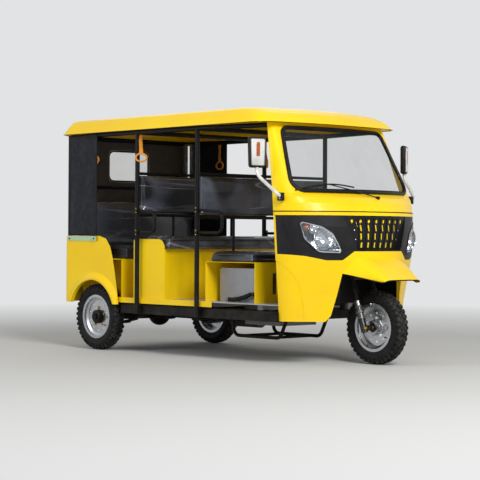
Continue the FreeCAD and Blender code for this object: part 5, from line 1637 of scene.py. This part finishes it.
strap = {
    # name, and for each strap: top of the band, middle of the grip, turn of the grip
    "pairs": {
        "hand_strap_pair": [((-0.548, -0.645), (-0.528, -0.650), 47), ((-0.548, 0.645), (-0.528, 0.650), -47)],
        "rear_hand_strap_pair": [((-1.097, -0.647), (-1.097, -0.647), 0),
                                 ((-1.097, 0.647), (-1.097, 0.647), 0)],
    },
    "top": 1.6400, "gripZ": 1.465, "gripHalf": 0.0415, "gripHigh": 0.030, "gripBar": 0.007, "gripSteps": 24,
    # the band, and the doubled parts at its foot and head
    "half": 0.0130, "thick": 0.0020, "round": 0.0012, "doubled": 0.0016, "footTo": 0.22, "headFrom": 0.80,
}


def strapBand(shape, foot, head, turn, thicker=0.0):
    before = set(shape.verts)
    run = Vector(head) - Vector(foot)
    half, thick = strap["half"] + thicker, strap["thick"] + thicker
    slab(shape, (-half, -thick, 0), (half, thick, run.length), strap["round"])
    lean = Vector((0, 0, 1)).rotation_difference(run).to_matrix()
    placedNew(shape, before, foot, lean @ Matrix.Rotation(radians(turn), 3, "Z"))


def handStraps(name, pair):
    shape = bmesh.new()
    for (topX, topY), (x, y), turn in pair:
        across = Vector((cos(radians(turn)), sin(radians(turn)), 0))
        line = []
        for step in range(strap["gripSteps"]):
            angle = 2 * pi * step / strap["gripSteps"]
            lift = Vector((0, 0, sin(angle) * strap["gripHigh"]))
            line.append(Vector((x, y, strap["gripZ"])) + across * cos(angle) * strap["gripHalf"] + lift)
        tubeAlong(shape, line, strap["gripBar"], cyclic=True, sides=3)
        foot = Vector((x, y, strap["gripZ"] + strap["gripHigh"]))
        head = Vector((topX, topY, strap["top"]))
        strapBand(shape, foot, head, turn)
        wrap = foot - Vector((0, 0, strap["gripBar"]))
        strapBand(shape, wrap, foot.lerp(head, strap["footTo"]), turn, strap["doubled"])
        strapBand(shape, foot.lerp(head, strap["headFrom"]), head, turn, strap["doubled"])
    return finished(name, shape, "webbing")


for pairName, pair in strap["pairs"].items():
    pairPiece = handStraps(pairName, pair)
    if pairName == "hand_strap_pair":
        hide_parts("hand_straps")


# black strip along the roof's hem: painted shadow under its edge

roofShadowStrip = {"level": 0.0008, "side": 0.680, "front": 0.800, "rear": -1.4975, "high": 0.004, "thick": 0.003}


def roofHemShadow():
    shape = skinOf("roof")
    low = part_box("roof")[0].z
    keep = {f for f in shape.faces
            if f.normal.z < -0.9 and abs(f.calc_center_median().z - low) < roofShadowStrip["level"]}
    bmesh.ops.delete(shape, geom=[f for f in shape.faces if f not in keep], context="FACES")
    bmesh.ops.dissolve_limit(shape, angle_limit=radians(1), verts=list(shape.verts), edges=list(shape.edges))
    outer = []
    for edge in [e for e in shape.edges if e.is_boundary]:
        middle = (edge.verts[0].co + edge.verts[1].co) / 2
        if abs(middle.y) > roofShadowStrip["side"] or not roofShadowStrip["rear"] <= middle.x <= roofShadowStrip["front"]:
            outer.append(edge)
    others = list(shape.faces)
    made = bmesh.ops.extrude_edge_only(shape, edges=outer)["geom"]
    bmesh.ops.translate(shape, vec=(0, 0, -roofShadowStrip["high"]), verts=vertsOf(made))
    bmesh.ops.delete(shape, geom=others, context="FACES_ONLY")
    bmesh.ops.delete(shape, geom=[e for e in shape.edges if not e.link_faces], context="EDGES")
    # a black strip that stands for the shadow under the roof's hem
    rubber = finished("roof_hem_shadow_strip", shape, "seal", sharp=60)
    thickened(rubber, roofShadowStrip["thick"])


roofHemShadow()
print("roof trim made")


# floor, backdrop and studio light

studio = {
    "floorColour": tint(205, 205, 203),
    "backColour": tint(226, 227, 228),
    "floorSize": 160,
    "fadeFrom": 3.0,
    "fadeTo": 9.0,
    "skyStrength": 0.34,
    "target": (0, 0, 0.9),
    "key": {"energy": 860, "size": 3.6, "place": (8.8, -3.4, 6.4)},
    "fill": {"energy": 230, "size": 5.0, "place": (-3.0, -9.0, 4.0)},
    "back": {"energy": 60, "size": 5.0, "place": (-6.0, 5.0, 5.5)},
}


def makeFloor():
    mesh = bpy.data.meshes.new("floor")
    shape = bmesh.new()
    bmesh.ops.create_grid(shape, x_segments=1, y_segments=1, size=studio["floorSize"])
    shape.to_mesh(mesh)
    shape.free()
    floor = bpy.data.objects.new("floor", mesh)
    bpy.context.scene.collection.objects.link(floor)
    paint = Paint("floorPlain", studio["floorColour"], 0.9)
    far = paint.node("ShaderNodeVectorMath", {"operation": "LENGTH"}, {0: paint.place()}, output="Value")
    fade = paint.ranged(far, studio["fadeFrom"], studio["fadeTo"])
    glow = paint.node("ShaderNodeEmission", sockets={"Color": studio["backColour"], "Strength": 1.0})
    blend = paint.node("ShaderNodeMixShader", sockets={0: fade, 2: glow})
    paint.tree.links.new(paint.shader.outputs[0], blend.socket.node.inputs[1])
    paint.tree.links.new(blend.socket, paint.tree.nodes["Material Output"].inputs["Surface"])
    mesh.materials.append(paint.material)


def makeWorld():  # soft sky light, with the backdrop's colour where the camera or a mirror sees it
    world = bpy.data.worlds.new("studio")
    bpy.context.scene.world = world
    world.use_nodes = True
    world.node_tree.nodes.clear()
    tree = NodeTree(world.node_tree)
    white = (1, 1, 1, 1)
    sky = tree.node("ShaderNodeBackground", sockets={"Color": white, "Strength": studio["skyStrength"]})
    back = tree.node("ShaderNodeBackground", sockets={"Color": studio["backColour"], "Strength": 1})
    rays = ("Is Camera Ray", "Is Glossy Ray", "Is Transmission Ray")
    seen, mirrored, through = [tree.node("ShaderNodeLightPath", output=ray) for ray in rays]
    settings = {"operation": "ADD", "use_clamp": True}
    clear = tree.node("ShaderNodeMath", settings, {0: seen + mirrored, 1: through})
    mix = tree.node("ShaderNodeMixShader", sockets={0: clear, 1: sky, 2: back})
    end = world.node_tree.nodes.new("ShaderNodeOutputWorld")
    world.node_tree.links.new(mix.socket, end.inputs["Surface"])


def makeLight(name):
    given = studio[name]
    data = bpy.data.lights.new(name, "AREA")
    data.energy = given["energy"]
    data.size = given["size"]
    lamp = bpy.data.objects.new(name, data)
    place = Vector(given["place"])
    lamp.location = place
    lamp.rotation_euler = (Vector(studio["target"]) - place).to_track_quat("-Z", "Y").to_euler()
    bpy.context.scene.collection.objects.link(lamp)


makeFloor()
makeWorld()
for lampName in ("key", "fill", "back"):
    makeLight(lampName)
bpy.context.scene.view_settings.view_transform = "Standard"
print("studio set")
